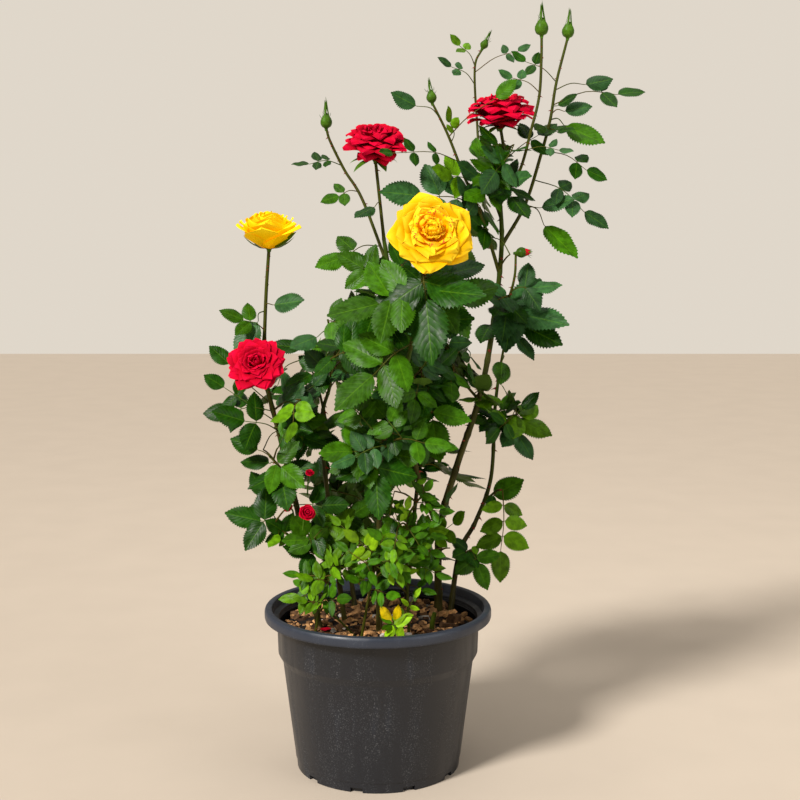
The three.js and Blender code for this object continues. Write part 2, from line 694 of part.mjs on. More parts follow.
function mixSolid() {
  const { collarRadius, collarFoot, collarTaper, stepDrop, wallRadius, baseRadius } = POT;
  const { wall, floor, sides } = POT;
  const clear = wall + GAP;
  const collar = collarRadius - collarTaper - clear;
  const profile = [
    [0, floor + GAP],
    [baseRadius - clear - 1, floor + GAP],
    [wallRadius - clear, collarFoot - stepDrop + GAP],
    [collar, collarFoot + GAP],
    [collar, MIX.level - MIX.edgeDrop],
    [MIX.flatRadius, MIX.level],
    [0, MIX.level],
  ];
  return toSolid(turned(profile, sides));
}

function boxesMeet(a, b) {
  return [0, 1, 2].every((k) => a.min[k] < b.max[k] && b.min[k] < a.max[k]);
}

// Every placed piece, with the name of the node that it belongs to.
const placed = [];

function place(owner, solid) {
  placed.push({ owner, solid, box: solid.boundingBox() });
}

function meetsOthers(owner, solid) {
  const box = solid.boundingBox();
  return placed.some((piece) => (
    piece.owner !== owner && boxesMeet(box, piece.box) && !solid.intersect(piece.solid).isEmpty()
  ));
}

// What lies under a stem's foot: everything up to just over the mix's top.
function belowMix() {
  const slab = new THREE.BoxGeometry(SLAB.side, SLAB.side, SLAB.thick);
  slab.translate(0, 0, MIX.level + GAP - SLAB.thick / 2);
  return toSolid(slab);
}

const underground = belowMix();
const stems = new Map();

function addStem(entry, sides) {
  const parent = entry.parent && stems.get(entry.parent);
  const points = entry.route.map(vector);
  if (parent) {
    points.unshift(parent.curve.getPoint(entry.share));
  } else {
    points[0].z = MIX.level - MIX.rootDepth;
  }
  const stem = {
    curve: stemCurve(points),
    radii: entry.radii,
    rooted: !parent,
    sides,
    steps: 2 * (points.length - 1),
  };
  stems.set(entry.name, stem);
  const whole = stemSolid(stem, 0);
  const cut = parent ? stemSolid(parent, GAP) : underground;
  return mainPiece(whole.subtract(cut));
}

// A seeded leaf's tip, up and out from the stem.
function seededTip(root, share, size, keys) {
  const turn = chance(keys[0], SEEDED.turnKey) * 2 * Math.PI + keys[1] * SPIRAL;
  const level = THREE.MathUtils.lerp(SEEDED.lowLift, SEEDED.highLift, share);
  const lift = level + (chance(...keys, 5) - 0.5) * SEEDED.liftRange;
  const long = size * (SEEDED.shortest + chance(...keys, 6) * SEEDED.longRange);
  const out = new THREE.Vector3(Math.cos(turn), Math.sin(turn), lift).normalize();
  return root.clone().addScaledVector(out, long);
}

// Every leaf of a shoot: the named ones, then the seeded ones.
function leafList(shoot, stem, number) {
  const list = (shoot.leaves ?? []).map(([share, tip, size, pairs], i) => ({
    share, size, pairs, tip: vector(tip), keys: [number, i],
  }));
  const { count = 0, from = 0, to = 1, size = 0 } = shoot.fill ?? {};
  for (let i = 0; i < count; i += 1) {
    const keys = [number, SEEDED.firstKey + i];
    const share = THREE.MathUtils.lerp(from, to, count > 1 ? i / (count - 1) : 0.5);
    const grown = size * (SEEDED.smallest + SEEDED.sizeRange * chance(...keys, 4));
    const root = stem.curve.getPoint(share);
    list.push({
      share,
      size: grown,
      pairs: 1,
      tip: seededTip(root, share, grown, keys),
      keys,
    });
  }
  return list;
}

// A leaf that meets another piece is tried again a little to one side, then left out.
function growLeaf(shoot, stem, leaf) {
  const root = stem.curve.getPoint(leaf.share);
  if (root.distanceTo(leaf.tip) > shoot.reach) {
    return null;
  }
  for (let attempt = 0; attempt < NUDGE.tries; attempt += 1) {
    const tip = leaf.tip.clone();
    for (const [axis, key] of Object.entries(NUDGE.keys)) {
      tip[axis] += attempt * (chance(...leaf.keys, key, attempt) - 0.5) * NUDGE.step;
    }
    const blades = leafPlan(root, tip, leaf.size, leaf.pairs, leaf.keys);
    if (!meetsOthers(shoot.name, leafSolid(blades, GAP))) {
      return leafSolid(blades, 0);
    }
  }
  return null;
}

function namedMesh(name, solid, finish) {
  const material = new THREE.MeshStandardMaterial({ ...finish, metalness: 0 });
  const mesh = new THREE.Mesh(toGeometry(solid), material);
  mesh.name = name;
  return mesh;
}

const plant = new THREE.Group();
plant.name = 'rose_bush';

const pot = potSolid();
place('pot', pot);
plant.add(namedMesh('pot', pot, FINISHES.pot));

const mix = mixSolid();
place('potting_mix', mix);
plant.add(namedMesh('potting_mix', mix, FINISHES.mix));

for (const cane of CANES) {
  const solid = addStem(cane, CANE_SIDES);
  place(cane.name, solid);
  plant.add(namedMesh(cane.name, solid, FINISHES.cane));
}

// Stems, roses and buds come first, so that the leaves keep clear of all of them.
const masses = SHOOTS.map((shoot) => {
  const stem = addStem(shoot, SHOOT_SIDES);
  let solid = stem;
  if (shoot.end) {
    const curve = stems.get(shoot.name).curve;
    const { kind, radius, axis, deep } = shoot.end;
    const make = kind === 'bud' ? budSolid : roseSolid;
    solid = solid.add(make(curve.getPoint(1), vector(axis), radius, shoot.radii[1], deep));
  }
  place(shoot.name, solid);
  return { shoot, solid, leaves: 0 };
});

masses.forEach((mass, number) => {
  const { shoot } = mass;
  const stem = stems.get(shoot.name);
  for (const leaf of leafList(shoot, stem, number)) {
    const solid = growLeaf(shoot, stem, leaf);
    if (solid) {
      place(shoot.name, solid);
      mass.solid = mass.solid.add(solid);
      mass.leaves += 1;
    }
  }
  const finish = shoot.young ? FINISHES.youngLeaf : FINISHES.leaf;
  const mesh = namedMesh(shoot.name, mainPiece(mass.solid), finish);
  mesh.userData.leaves = mass.leaves;
  plant.add(mesh);
});

export default plant;
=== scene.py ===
# A potted rose bush dressed for a close look: pot, bark mix, canes, twigs, leaves, roses and buds.
# The tables and shapes are in millimetres, and each mesh is made in metres.

import functools
import json
import math

import bmesh
import bpy
import numpy as np
from bpy.props import FloatProperty, FloatVectorProperty, IntProperty, PointerProperty
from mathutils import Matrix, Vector, kdtree

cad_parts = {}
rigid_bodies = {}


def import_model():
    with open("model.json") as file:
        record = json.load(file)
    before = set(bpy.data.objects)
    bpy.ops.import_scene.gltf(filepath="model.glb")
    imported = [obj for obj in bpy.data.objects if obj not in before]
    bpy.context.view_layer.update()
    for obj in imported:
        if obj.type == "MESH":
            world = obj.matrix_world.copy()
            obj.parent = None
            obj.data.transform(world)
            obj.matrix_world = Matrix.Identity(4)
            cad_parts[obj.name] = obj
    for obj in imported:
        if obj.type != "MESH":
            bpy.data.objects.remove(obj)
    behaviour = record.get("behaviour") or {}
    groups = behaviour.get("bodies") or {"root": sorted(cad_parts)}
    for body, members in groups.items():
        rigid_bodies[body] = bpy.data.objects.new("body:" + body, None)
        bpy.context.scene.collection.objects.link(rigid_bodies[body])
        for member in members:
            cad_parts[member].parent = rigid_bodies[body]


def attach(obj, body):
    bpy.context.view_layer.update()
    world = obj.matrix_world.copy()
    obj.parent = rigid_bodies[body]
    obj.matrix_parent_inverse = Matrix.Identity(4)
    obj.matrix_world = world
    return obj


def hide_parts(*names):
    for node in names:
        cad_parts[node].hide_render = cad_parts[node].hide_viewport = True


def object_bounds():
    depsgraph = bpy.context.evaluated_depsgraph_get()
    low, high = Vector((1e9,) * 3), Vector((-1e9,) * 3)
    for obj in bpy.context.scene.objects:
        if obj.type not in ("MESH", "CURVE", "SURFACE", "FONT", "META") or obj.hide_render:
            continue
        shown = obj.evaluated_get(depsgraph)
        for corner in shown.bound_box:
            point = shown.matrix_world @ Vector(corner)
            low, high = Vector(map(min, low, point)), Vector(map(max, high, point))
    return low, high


bl_info = {
    "name": "Potted rose bush",
    "version": (1, 0, 0),
    "blender": (4, 5, 0),
    "location": "View3D > Sidebar > Rose bush",
    "description": "Grows a rose bush with roses, buds and leaves in a nursery pot of bark mix",
    "category": "Add Mesh",
}

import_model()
CAD_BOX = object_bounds()

MM = 0.001
BODY = "root"

# Each point of a mesh has four tone values in this layer. Plain stands for no marks.
TONE = "tone"
PLAIN = (0.5, 0.5, 0, 0)

# How far leaves may stand out of the solids' box.
BOX_SLACK = 3
BOX_LOW = np.array(CAD_BOX[0]) / MM - BOX_SLACK
BOX_HIGH = np.array(CAD_BOX[1]) / MM + BOX_SLACK

# Driving sizes of the pot and its fill, as on the solids.
POT = {
    "height": 201, "rim": 140, "mouth": 131, "lip": 13, "collar": 125, "collar_foot": 146,
    "step": 10, "wall_radius": 118, "base": 103, "wall": 2.6, "floor": 8, "seam": 13,
}
NOTCH = {"count": 10, "width": 15, "height": 6, "depth": 7, "turn": math.radians(-104)}
MIX = {"level": 180, "flat": 108, "drop": 5, "radius": 121}

# How far the seeded leaves may reach to the left and right at each height.
CROWN_HEIGHTS = (214, 222, 250, 312, 348, 385, 421, 457, 480, 500, 554, 590, 640, 700, 760, 850)
CROWN_LEFT = (500, -88, -85, -95, -118, -122, -128, -155, -165, -90, -62, -60, -50, 50, 80, 80)
CROWN_RIGHT = (500, 130, 150, 150, 140, 150, 180, 180, 150, 150, 170, 170, 170, 180, 175, 160)

# Gaps of the crown that stay open: left, right, bottom and top, as the camera sees them.
SKY_GAPS = [(83, 126, 524, 578), (115, 144, 442, 476), (-128, -89, 498, 557),
            (72, 103, 273, 306), (94, 122, 408, 451), (-73, -48, 432, 463)]

# The camera's place and its film's width. The picture's width, the focal length and how far
# the picture's middle is below the horizon are in pixels.
EYE = np.array([27.2, -1600.0, 650.0])
FILM = 36
PICTURE = 800
FOCAL = 1325
HORIZON = 160
LOOK_DOWN = math.atan(HORIZON / FOCAL)

# How a leaf stands on its stalk, as on the solids.
LEAF = {
    "full": 1.25, "young": 1.0, "longest": 0.8, "half_width": 0.35, "arch": 0.1, "spacing": 0.3,
    "last_pair": 0.75, "close": 0.85, "pair_longest": 1.05, "pair_shrink": 0.1,
    "pair_size": 0.88, "pair_angle": math.radians(72), "angle_stray": 0.35, "pair_droop": 0.6,
    "lift_stray": 0.3, "face_stray": 0.5,
}

# How a seeded leaf leaves its stem, as on the solids: its rise, and its reach by its size.
TIP = {"rise": (-0.25, 0.55), "stray": 0.4, "reach": 2.1, "more": 0.6}
UP = np.array([0.0, 0.0, 1.0])

# Where the light comes from, and how much leaves turn outwards, to the sides and to it.
LIGHT_SIDE = np.array([-0.16, -0.78, 0.6])
OUTWARD_PULL = 0.4
SIDE_PULL = 0.8
LIGHT_TURN = 0.45

# The turn from leaf to leaf, how far and how often a leaf is moved that meets something, and
# how deep the stems are rooted.
SPIRAL = math.radians(144)
NUDGE = 9
TRIES = 7
ROOT_DEPTH = 8

# Leaves on the finer twigs turn outwards more, and hang or stand with the way they grow.
FINE_LIGHT = 0.45
FINE_OUTWARD = 0.9
FINE_LIFT = 0.35
HUNG_WAY = np.array([1, 0.6, 0.4])
HUNG_PULL = 0.9

# The first keys of each kind of growth on a shoot. The placed leaves count from 0.
FILL_KEYS = 40
SMALL_KEYS = 150
TWIG_KEYS = 200
FINE_KEYS = 300

# How much a seeded leaf's size varies, and the room that it leaves round others.
SIZE_SPREAD = (0.85, 1.15)
FILL_ROOM = 0.2
FINE_ROOM = 0.3

# Finer side twigs: rise, length by leaf size, lift of end and middle, and where leaves sit.
TWIG = {
    "rise": (-0.1, 0.7), "length": (1.0, 1.7), "end_lift": 0.2, "middle_lift": 0.12,
    "leaves": (0.35, 0.7, 1.0), "leaf_share": 0.6,
}

# How near a leaf may come to limbs and the mix, in millimetres, and to roses, by their radius.
CLEAR = {"limb": 1.2, "own_limb": 0.2, "rose": 0.95, "own_rose": 0.8, "mix": 4}

# The greens of the leaves, by their place in the leaf pieces' materials.
# The dusky green is partly a painted sheen: it stands for glancing light on upper leaves as well as for
# leaf colour.
LEAF_COLOURS = ("deep", "middle", "fresh", "lime", "faded", "dusky_sheen")
DEEP, MIDDLE, FRESH, LIME, FADED, DUSKY_SHEEN = range(len(LEAF_COLOURS))

# Canes: name, the cane that each rises from and where, its route and its radii.
CANES = [
    ("main_cane", None, 0, [(76, 50), (78, 50, 286), (99, 50, 367), (126, 50, 451),
                            (142, 50, 537), (152, 38, 640), (148, 30, 712)], (4.9, 2.5)),
    ("middle_cane", "main_cane", 0.167, [(68, 44, 306), (48, 30, 365), (33, 10, 473),
                                         (25, 0, 550), (8, 0, 650)], (3.5, 2.3)),
    ("left_cane", None, 0, [(-71, -20), (-88, -20, 281), (-106, -20, 362), (-117, -18, 411),
                            (-135, -4, 481), (-137, 0, 530)], (3.8, 2.5)),
    ("front_cane", None, 0, [(2, -40), (3, -55, 330), (16, -70, 426), (39, -90, 525)],
     (3.6, 2.4)),
    ("centre_left_cane", None, 0, [(-41, 5), (-60, -8, 330), (-67, -18, 430), (-57, -20, 475)],
     (3.1, 2.0)),
    ("right_cane", None, 0, [(90, 40), (103, 62, 251), (125, 78, 290), (145, 90, 345),
                             (150, 100, 432), (155, 100, 480)], (3.4, 2.0)),
    ("back_left_cane", None, 0, [(-30, 62), (-50, 92, 320), (-72, 108, 430)], (3.2, 2.0)),
    ("back_right_cane", None, 0, [(34, 74), (50, 108, 330), (70, 124, 450)], (3.2, 2.0)),
]


def shoot(name, parent, share, radii, reach, route, end=None, leaves=(), fill=None, fine=None,
          young=False, small=()):
    """One shoot's row: fill is its seeded leaves on the solids and fine the finer twigs."""
    return {
        "name": name + "_shoot", "parent": parent, "share": share, "radii": radii,
        "reach": reach, "route": route, "end": end, "leaves": leaves, "fill": fill,
        "fine": fine, "young": young, "small": small,
    }


# A leaf is the share of the stem that it leaves from, where its tip reaches, the length of
# its end leaflet and its pairs of leaflets. Fill and fine give a count, two shares of the
# stem and a leaflet length. Ends give a radius, the way they face and a rose's depth. Small
# leaves are too fine for the solids, and end with their green.
SHOOTS = [
    shoot("upper_rose", "main_cane", 1, (2.5, 2.1), 130,
          [(153, 30, 752), (149, 30, 784)],
          ("rose", 42, (-0.05, -0.22, 1), 0.95),
          [(0.1, (179, -12, 675), 34, 1), (0.25, (112, -22, 715), 30, 1),
           (0.4, (220, 64, 795), 26, 1), (0.55, (117, -34, 771), 30, 1),
           (0.04, (182, -16, 727), 32, 1), (0.5, (176, -18, 760), 30, 1),
           (0.35, (119, -26, 746), 28, 1), (0.02, (103, -16, 700), 30, 1)],
          (1, 0.05, 0.6, 30), (3, 0.02, 0.5, 30)),
    shoot("right_bud", "main_cane", 0.84, (2.6, 1.8), 190,
          [(182, 60, 693), (201, 60, 754), (212, 60, 797), (219, 60, 842), (232, 60, 895)],
          ("bud", 6.6, (0.08, 0, 1)),
          [(0.2, (241, 20, 628), 48, 0), (0.3, (284, 40, 665), 30, 2),
           (0.16, (240, 30, 701), 36, 0), (0.42, (285, 66, 725), 24, 1),
           (0.52, (237, 26, 783), 22, 1), (0.6, (277, 40, 767), 44, 0),
           (0.68, (332, 80, 835), 30, 1), (0.76, (291, 70, 847), 30, 0),
           (0.8, (163, 62, 879), 18, 1), (0.56, (188, 30, 783), 26, 0),
           (0.66, (244, 50, 827), 28, 0), (0.63, (263, 56, 814), 28, 0)]),
    shoot("tall_bud", "main_cane", 0.955, (2.1, 1.8), 150,
          [(171, 12, 733), (183, 0, 780), (192, 0, 819), (194, 0, 861), (194, 0, 889)],
          ("bud", 7, (0, 0, 1)),
          [(0.62, (143, 0, 849), 16, 1), (0.3, (232, -16, 755), 15, 1)]),
    shoot("small_bud", "main_cane", 0.91, (1.9, 1.5), 170,
          [(128, 56, 742), (123, 80, 798), (120, 80, 862), (129, 80, 885)],
          ("bud", 4.4, (0.5, 0, 1)),
          [(0.76, (90, 80, 903), 15, 1), (0.66, (74, 70, 874), 17, 1),
           (0.72, (190, 90, 891), 15, 1)],
          (1, 0.1, 0.5, 28)),
    shoot("middle_bud", "main_cane", 0.78, (2.5, 1.6), 170,
          [(128, 20, 672), (104, 20, 728), (85, 20, 775), (66, 20, 813)],
          ("bud", 5.4, (-0.15, 0, 1)),
          [(0.88, (16, 10, 824), 28, 0), (0.74, (165, -14, 836), 27, 0),
           (0.58, (2, -60, 751), 18, 2), (0.32, (4, -22, 710), 44, 2),
           (0.45, (66, -20, 736), 28, 1), (0.7, (85, -6, 807), 18, 1),
           (0.2, (106, -10, 681), 32, 1), (0.28, (94, -10, 725), 28, 1)],
          (1, 0.05, 0.5, 32), (2, 0.02, 0.4, 32)),
    shoot("middle_rose", "middle_cane", 1, (2.3, 2.1), 120,
          [(3, 0, 697), (-2, 0, 744)],
          ("rose", 38, (0.03, -0.42, 1), 1.08),
          [(0.45, (-28, -28, 677), 34, 0)]),
    shoot("left_bud", "middle_cane", 0.93, (2.2, 1.7), 130,
          [(-18, 20, 698), (-40, 30, 734), (-57, 30, 768), (-62, 30, 784)],
          ("bud", 6.2, (0, 0, 1)),
          [(0.54, (-104, 20, 742), 18, 2), (0.3, (-69, 10, 697), 20, 1),
           (0.08, (-74, -20, 619), 32, 1)]),
    shoot("yellow_rose", "front_cane", 1, (2.4, 2.2), 170,
          [(50, -99, 590), (62, -104, 654)],
          ("rose", 48, (0.08, -0.9, 0.42), 0.6),
          [(0.66, (63, -142, 514), 64, 2), (0.5, (-54, -118, 565), 50, 2),
           (0.06, (-48, -130, 463), 50, 2), (0.4, (142, -58, 595), 50, 2),
           (0.24, (112, -96, 562), 44, 1), (0.62, (118, -84, 625), 36, 1)]),
    shoot("yellow_side", "left_cane", 1, (2.5, 2.3), 110,
          [(-134, 0, 588), (-130, 0, 640)],
          ("rose", 39, (0.02, -0.12, 1), 1.12),
          [(0.35, (-87, -20, 578), 40, 0), (0.1, (-189, -8, 568), 26, 1),
           (0.3, (-170, -10, 514), 38, 0)]),
    shoot("front_rose", "left_cane", 0.6, (2.3, 2.0), 130,
          [(-126, -34, 456), (-139, -46, 499)],
          ("rose", 36, (-0.12, -0.82, 0.56), 0.66),
          [(0.4, (-211, -12, 444), 30, 1), (0.25, (-209, -8, 489), 24, 1),
           (0.12, (-193, -62, 451), 36, 1), (0.5, (-202, -8, 524), 28, 0),
           (0.2, (-58, -44, 498), 22, 2)],
          (1, 0.05, 0.5, 30), (7, 0.02, 0.6, 28)),
    shoot("left_middle", "left_cane", 0.4, (2.1, 1.5), 120,
          [(-116, -44, 382), (-127, -58, 398)],
          None,
          [(1, (-173, -44, 418), 30, 0), (0.6, (-164, -26, 388), 34, 0),
           (0.5, (-103, -88, 338), 40, 1), (0.9, (-84, -84, 364), 34, 1)],
          None, (6, 0.05, 0.98, 28)),
    shoot("left_lower", "left_cane", 0.2, (2.1, 1.5), 120,
          [(-108, -36, 298), (-126, -46, 314)],
          None,
          [(1, (-183, -42, 326), 38, 1), (0.7, (-129, -62, 288), 28, 0),
           (0.56, (-153, -18, 372), 28, 1), (0.44, (-119, -34, 283), 28, 0),
           (0.5, (-131, -56, 321), 24, 1)],
          None, (4, 0.1, 0.95, 28)),
    shoot("centre_left", "centre_left_cane", 1, (2.0, 1.4), 110,
          [(-51, -20, 517), (-59, -20, 556)],
          None,
          [(0.5, (-127, -18, 526), 30, 0), (0.3, (-110, -38, 478), 30, 1),
           (0.8, (-103, -52, 526), 32, 0), (0.95, (-23, -40, 558), 32, 1),
           (0.12, (-84, -34, 523), 36, 0)],
          None, (5, 0.05, 0.9, 32)),
    shoot("middle_leaf", "middle_cane", 0.8, (2.0, 1.5), 110,
          [(10, -18, 572), (2, -26, 590)],
          None,
          [(1, (-30, -22, 636), 40, 0), (0.8, (7, -50, 632), 30, 0), (0.5, (-21, -60, 540), 38, 1)],
          (1, 0.3, 0.9, 34), (4, 0.1, 0.9, 29)),
    shoot("side_bud", "main_cane", 0.69, (2.1, 1.6), 120,
          [(160, 32, 578), (167, 22, 606), (168, 20, 634)],
          ("bud", 5.6, (1, 0, 0.1)),
          [(0.45, (225, 20, 597), 32, 1), (0.16, (232, 4, 548), 54, 2),
           (0.08, (194, 22, 505), 30, 1), (0.3, (140, -20, 560), 34, 1),
           (0.12, (225, 12, 522), 44, 0), (0.02, (122, 6, 526), 34, 0)],
          (1, 0.1, 0.5, 32), (1, 0.1, 0.6, 30)),
    shoot("right_leaf", "right_cane", 1, (2.0, 1.4), 110,
          [(161, 98, 516), (164, 96, 545)],
          None,
          [(0.3, (154, 60, 470), 40, 0), (1, (197, 84, 588), 28, 1)],
          None, (1, 0.2, 0.9, 28)),
    shoot("right_middle", "right_cane", 0.78, (1.9, 1.4), 120,
          [(164, 92, 424), (178, 84, 428)],
          None,
          [(1, (205, 86, 457), 30, 0), (0.8, (220, 70, 401), 38, 2), (0.5, (198, 72, 372), 32, 1),
           (0.3, (128, 60, 409), 34, 1), (0.1, (111, 66, 423), 28, 1)],
          (1, 0.2, 0.9, 30), (5, 0.05, 0.95, 24),
          small=[(0.1, (126, 44, 446), 26, 1, FRESH), (0.05, (180, 60, 446), 26, 1, MIDDLE)]),
    shoot("right_hanging", "right_cane", 0.5, (1.9, 1.4), 150,
          [(150, 72, 330), (158, 64, 334)],
          None,
          [(0.04, (185, 78, 346), 42, 0), (1, (155, 58, 214), 34, 3), (0.5, (138, 60, 308), 36, 0)]),
    shoot("right_foot", "right_cane", 0.2, (1.9, 1.4), 100,
          [(112, 42, 258), (116, 28, 264)],
          None,
          [(1, (138, 16, 216), 30, 1), (0.6, (136, 40, 245), 26, 1), (0.8, (92, 6, 261), 24, 1)]),
    shoot("dark_twig", "main_cane", 0.5, (2.0, 1.4), 120,
          [(104, 24, 478), (90, 6, 500), (84, 0, 522)],
          None,
          [(0.5, (75, 30, 468), 24, 2), (0.8, (62, -8, 504), 24, 2), (1, (95, -12, 560), 26, 2)],
          (2, 0.2, 0.95, 26), (5, 0.05, 0.95, 27),
          small=[(0.1, (136, 4, 488), 34, 1, DEEP), (0.02, (134, 10, 444), 30, 1, FRESH)]),
    shoot("centre_right", "middle_cane", 0.6, (2.1, 1.5), 130, [(48, -14, 470), (62, -36, 466)],
          None,
          [(1, (73, -66, 390), 44, 1), (0.8, (104, -40, 440), 40, 1), (0.5, (30, -58, 450), 34, 1)],
          (2, 0.2, 0.9, 32), (5, 0.1, 0.95, 27)),
    shoot("centre_front", "front_cane", 0.6, (2.1, 1.5), 130, [(6, -84, 406), (0, -96, 404)],
          None,
          [(1, (1, -120, 334), 44, 1), (0.7, (-56, -92, 386), 36, 2),
           (0.4, (52, -104, 400), 30, 1)],
          (1, 0.2, 0.9, 32), (5, 0.1, 0.95, 27)),
    shoot("lower_right", "main_cane", 0.09, (2.2, 1.5), 110,
          [(66, 22, 262), (54, -8, 290)],
          None,
          [(1, (60, -40, 322), 30, 2), (0.7, (107, -20, 322), 20, 2)],
          (1, 0.2, 0.9, 28), (5, 0.2, 0.95, 27)),
    shoot("lower_left", "centre_left_cane", 0.2, (2.2, 1.5), 110,
          [(-62, -30, 262), (-74, -48, 290)], None,
          [(1, (-100, -78, 330), 32, 2), (0.7, (-112, -52, 288), 28, 1)],
          (2, 0.2, 0.9, 28), (6, 0.2, 0.95, 28)),
    shoot("lower_back", "back_left_cane", 0.35, (2.1, 1.5), 120,
          [(-64, 78, 300), (-84, 66, 330)], None, [], (3, 0.15, 1, 34), (7, 0.1, 0.95, 32)),
    shoot("back_left", "back_left_cane", 1, (2.0, 1.4), 120, [(-82, 106, 480), (-84, 98, 528)],
          None, [], (5, 0.02, 1, 38), (9, 0.05, 0.98, 33)),
    shoot("back_right", "back_right_cane", 1, (2.0, 1.4), 120, [(76, 122, 500), (80, 112, 556)],
          None, [], (5, 0.02, 1, 38), (9, 0.05, 0.98, 33)),
    shoot("back_middle", "back_right_cane", 0.5, (2.0, 1.4), 120, [(30, 96, 350), (12, 82, 390)],
          None, [], (4, 0.28, 0.98, 34), (9, 0.1, 0.95, 32)),
    shoot("young_left", None, 0, (2.0, 1.3), 110, [(-76, -62), (-66, -66, 225), (-52, -72, 262)],
          None,
          [(1, (-46, -104, 290), 26, 2), (0.8, (-96, -88, 262), 26, 2),
           (0.6, (-118, -60, 224), 28, 1), (0.5, (-30, -96, 236), 24, 2)],
          (1, 0.5, 0.95, 24), (8, 0.25, 0.98, 21), young=True,
          small=[(0.85, (-112, -64, 258), 22, 2, MIDDLE), (0.6, (-104, -30, 240), 21, 1, MIDDLE),
                 (0.45, (-98, -84, 232), 20, 2, FRESH), (0.5, (-70, -104, 226), 20, 1, FRESH)]),
    shoot("young_middle", None, 0, (2.0, 1.3), 120, [(-20, -66), (-8, -74, 240), (4, -80, 292)],
          None,
          [(1, (14, -104, 330), 26, 2), (0.9, (-38, -100, 318), 26, 2),
           (0.75, (44, -104, 290), 26, 2), (0.6, (-36, -106, 262), 24, 2),
           (0.5, (28, -108, 240), 24, 2)],
          (1, 0.5, 0.95, 24), (8, 0.25, 0.98, 21), young=True),
    shoot("young_right", None, 0, (1.9, 1.2), 120,
          [(38, -52), (36, -60, 250), (36, -64, 320), (52, -70, 352)], None,
          [(1, (66, -84, 374), 22, 2), (0.75, (22, -90, 346), 20, 1), (0.62, (62, -92, 322), 22, 2),
           (0.5, (56, -96, 282), 24, 2), (0.4, (10, -84, 250), 22, 2)],
          (1, 0.3, 0.8, 24), (6, 0.25, 0.9, 20), young=True,
          small=[(0.6, (84, -60, 300), 22, 2, MIDDLE), (0.4, (82, -56, 262), 22, 2, FRESH),
                 (0.3, (70, -78, 236), 20, 1, MIDDLE), (0.8, (92, -60, 330), 20, 1, MIDDLE)]),
    shoot("rim_leaf", None, 0, (1.5, 1.1), 70, [(22, -78), (20, -84, 202)], None,
          [(1, (6, -104, 200), 24, 1), (0.9, (52, -100, 200), 26, 2)], young=True,
          small=[(0.9, (4, -88, 224), 24, 0, FADED), (0.95, (27, -92, 226), 22, 0, FADED),
                 (0.75, (52, -78, 244), 15, 3, LIME)]),
]

# Thin green stems low in the pot: their line and their radii.
LOW_STEMS = [
    ([(-66, -66, 226), (-58, -72, 214), (-44, -70, 201), (-26, -58, 178)], 1.5, 1.1),
    ([(66, -38, 174), (66, -40, 188), (69, -42, 203)], 3.2, 2.8),
]

# Small red blooms among the lower leaves: place, radius and the way they face.
SMALL_BLOOMS = [
    ((-82, -84, 334), 9.5, (0.3, -0.8, 0.4)), ((-103, -72, 338), 5.5, (-0.4, -0.7, 0.5)),
    ((-79, -66, 378), 5, (0.2, -0.6, 0.7)),
]

# The shoots whose leaves make up each joined piece.
LEAF_PIECES = {
    "leaves_upper": range(0, 7),
    "leaves_middle": range(7, 22),
    "leaves_lower": range(22, 28),
    "leaves_young": range(28, 32),
}


def linear(red, green, blue):
    """A colour given as 0 to 255 on the screen, as the renderer's own values."""
    def one(value):
        value /= 255
        return value / 12.92 if value <= 0.04045 else ((value + 0.055) / 1.055) ** 2.4
    return (one(red), one(green), one(blue))


def unit(vector):
    """A direction of length 1, as an array."""
    vector = np.asarray(vector, float)
    return vector / (np.linalg.norm(vector) or 1.0)


def mix(a, b, share):
    return a + (b - a) * share


def smooth(low, high, value):
    """0 below low, 1 above high and a smooth rise between them."""
    share = np.clip((value - low) / (high - low), 0, 1)
    return share * share * (3 - 2 * share)


def chance(*keys):
    """A repeatable number from 0 to 1 for a set of whole numbers, as on the solids."""
    mask = 0xFFFFFFFF
    mixed = 2166136261
    for key in keys:
        mixed = ((mixed ^ (key + 374761393)) * 16777619) & mask
        mixed = ((mixed ^ (mixed >> 15)) * 2246822519) & mask
        mixed ^= mixed >> 13
    return mixed / 4294967296


def spread(low, high, *keys):
    return low + (high - low) * chance(*keys)


# Gathering faces for a mesh

@functools.lru_cache(maxsize=None)
def grid_faces(rows, columns, wrap=False):
    """The quads of a grid of points, joined round where wrap is set."""
    row = np.arange(rows - 1)[:, None] * columns
    column = np.arange(columns if wrap else columns - 1)[None, :]
    near = row + column
    far = row + (column + 1) % columns
    return np.stack([near, far, far + columns, near + columns], -1).reshape(-1, 4)


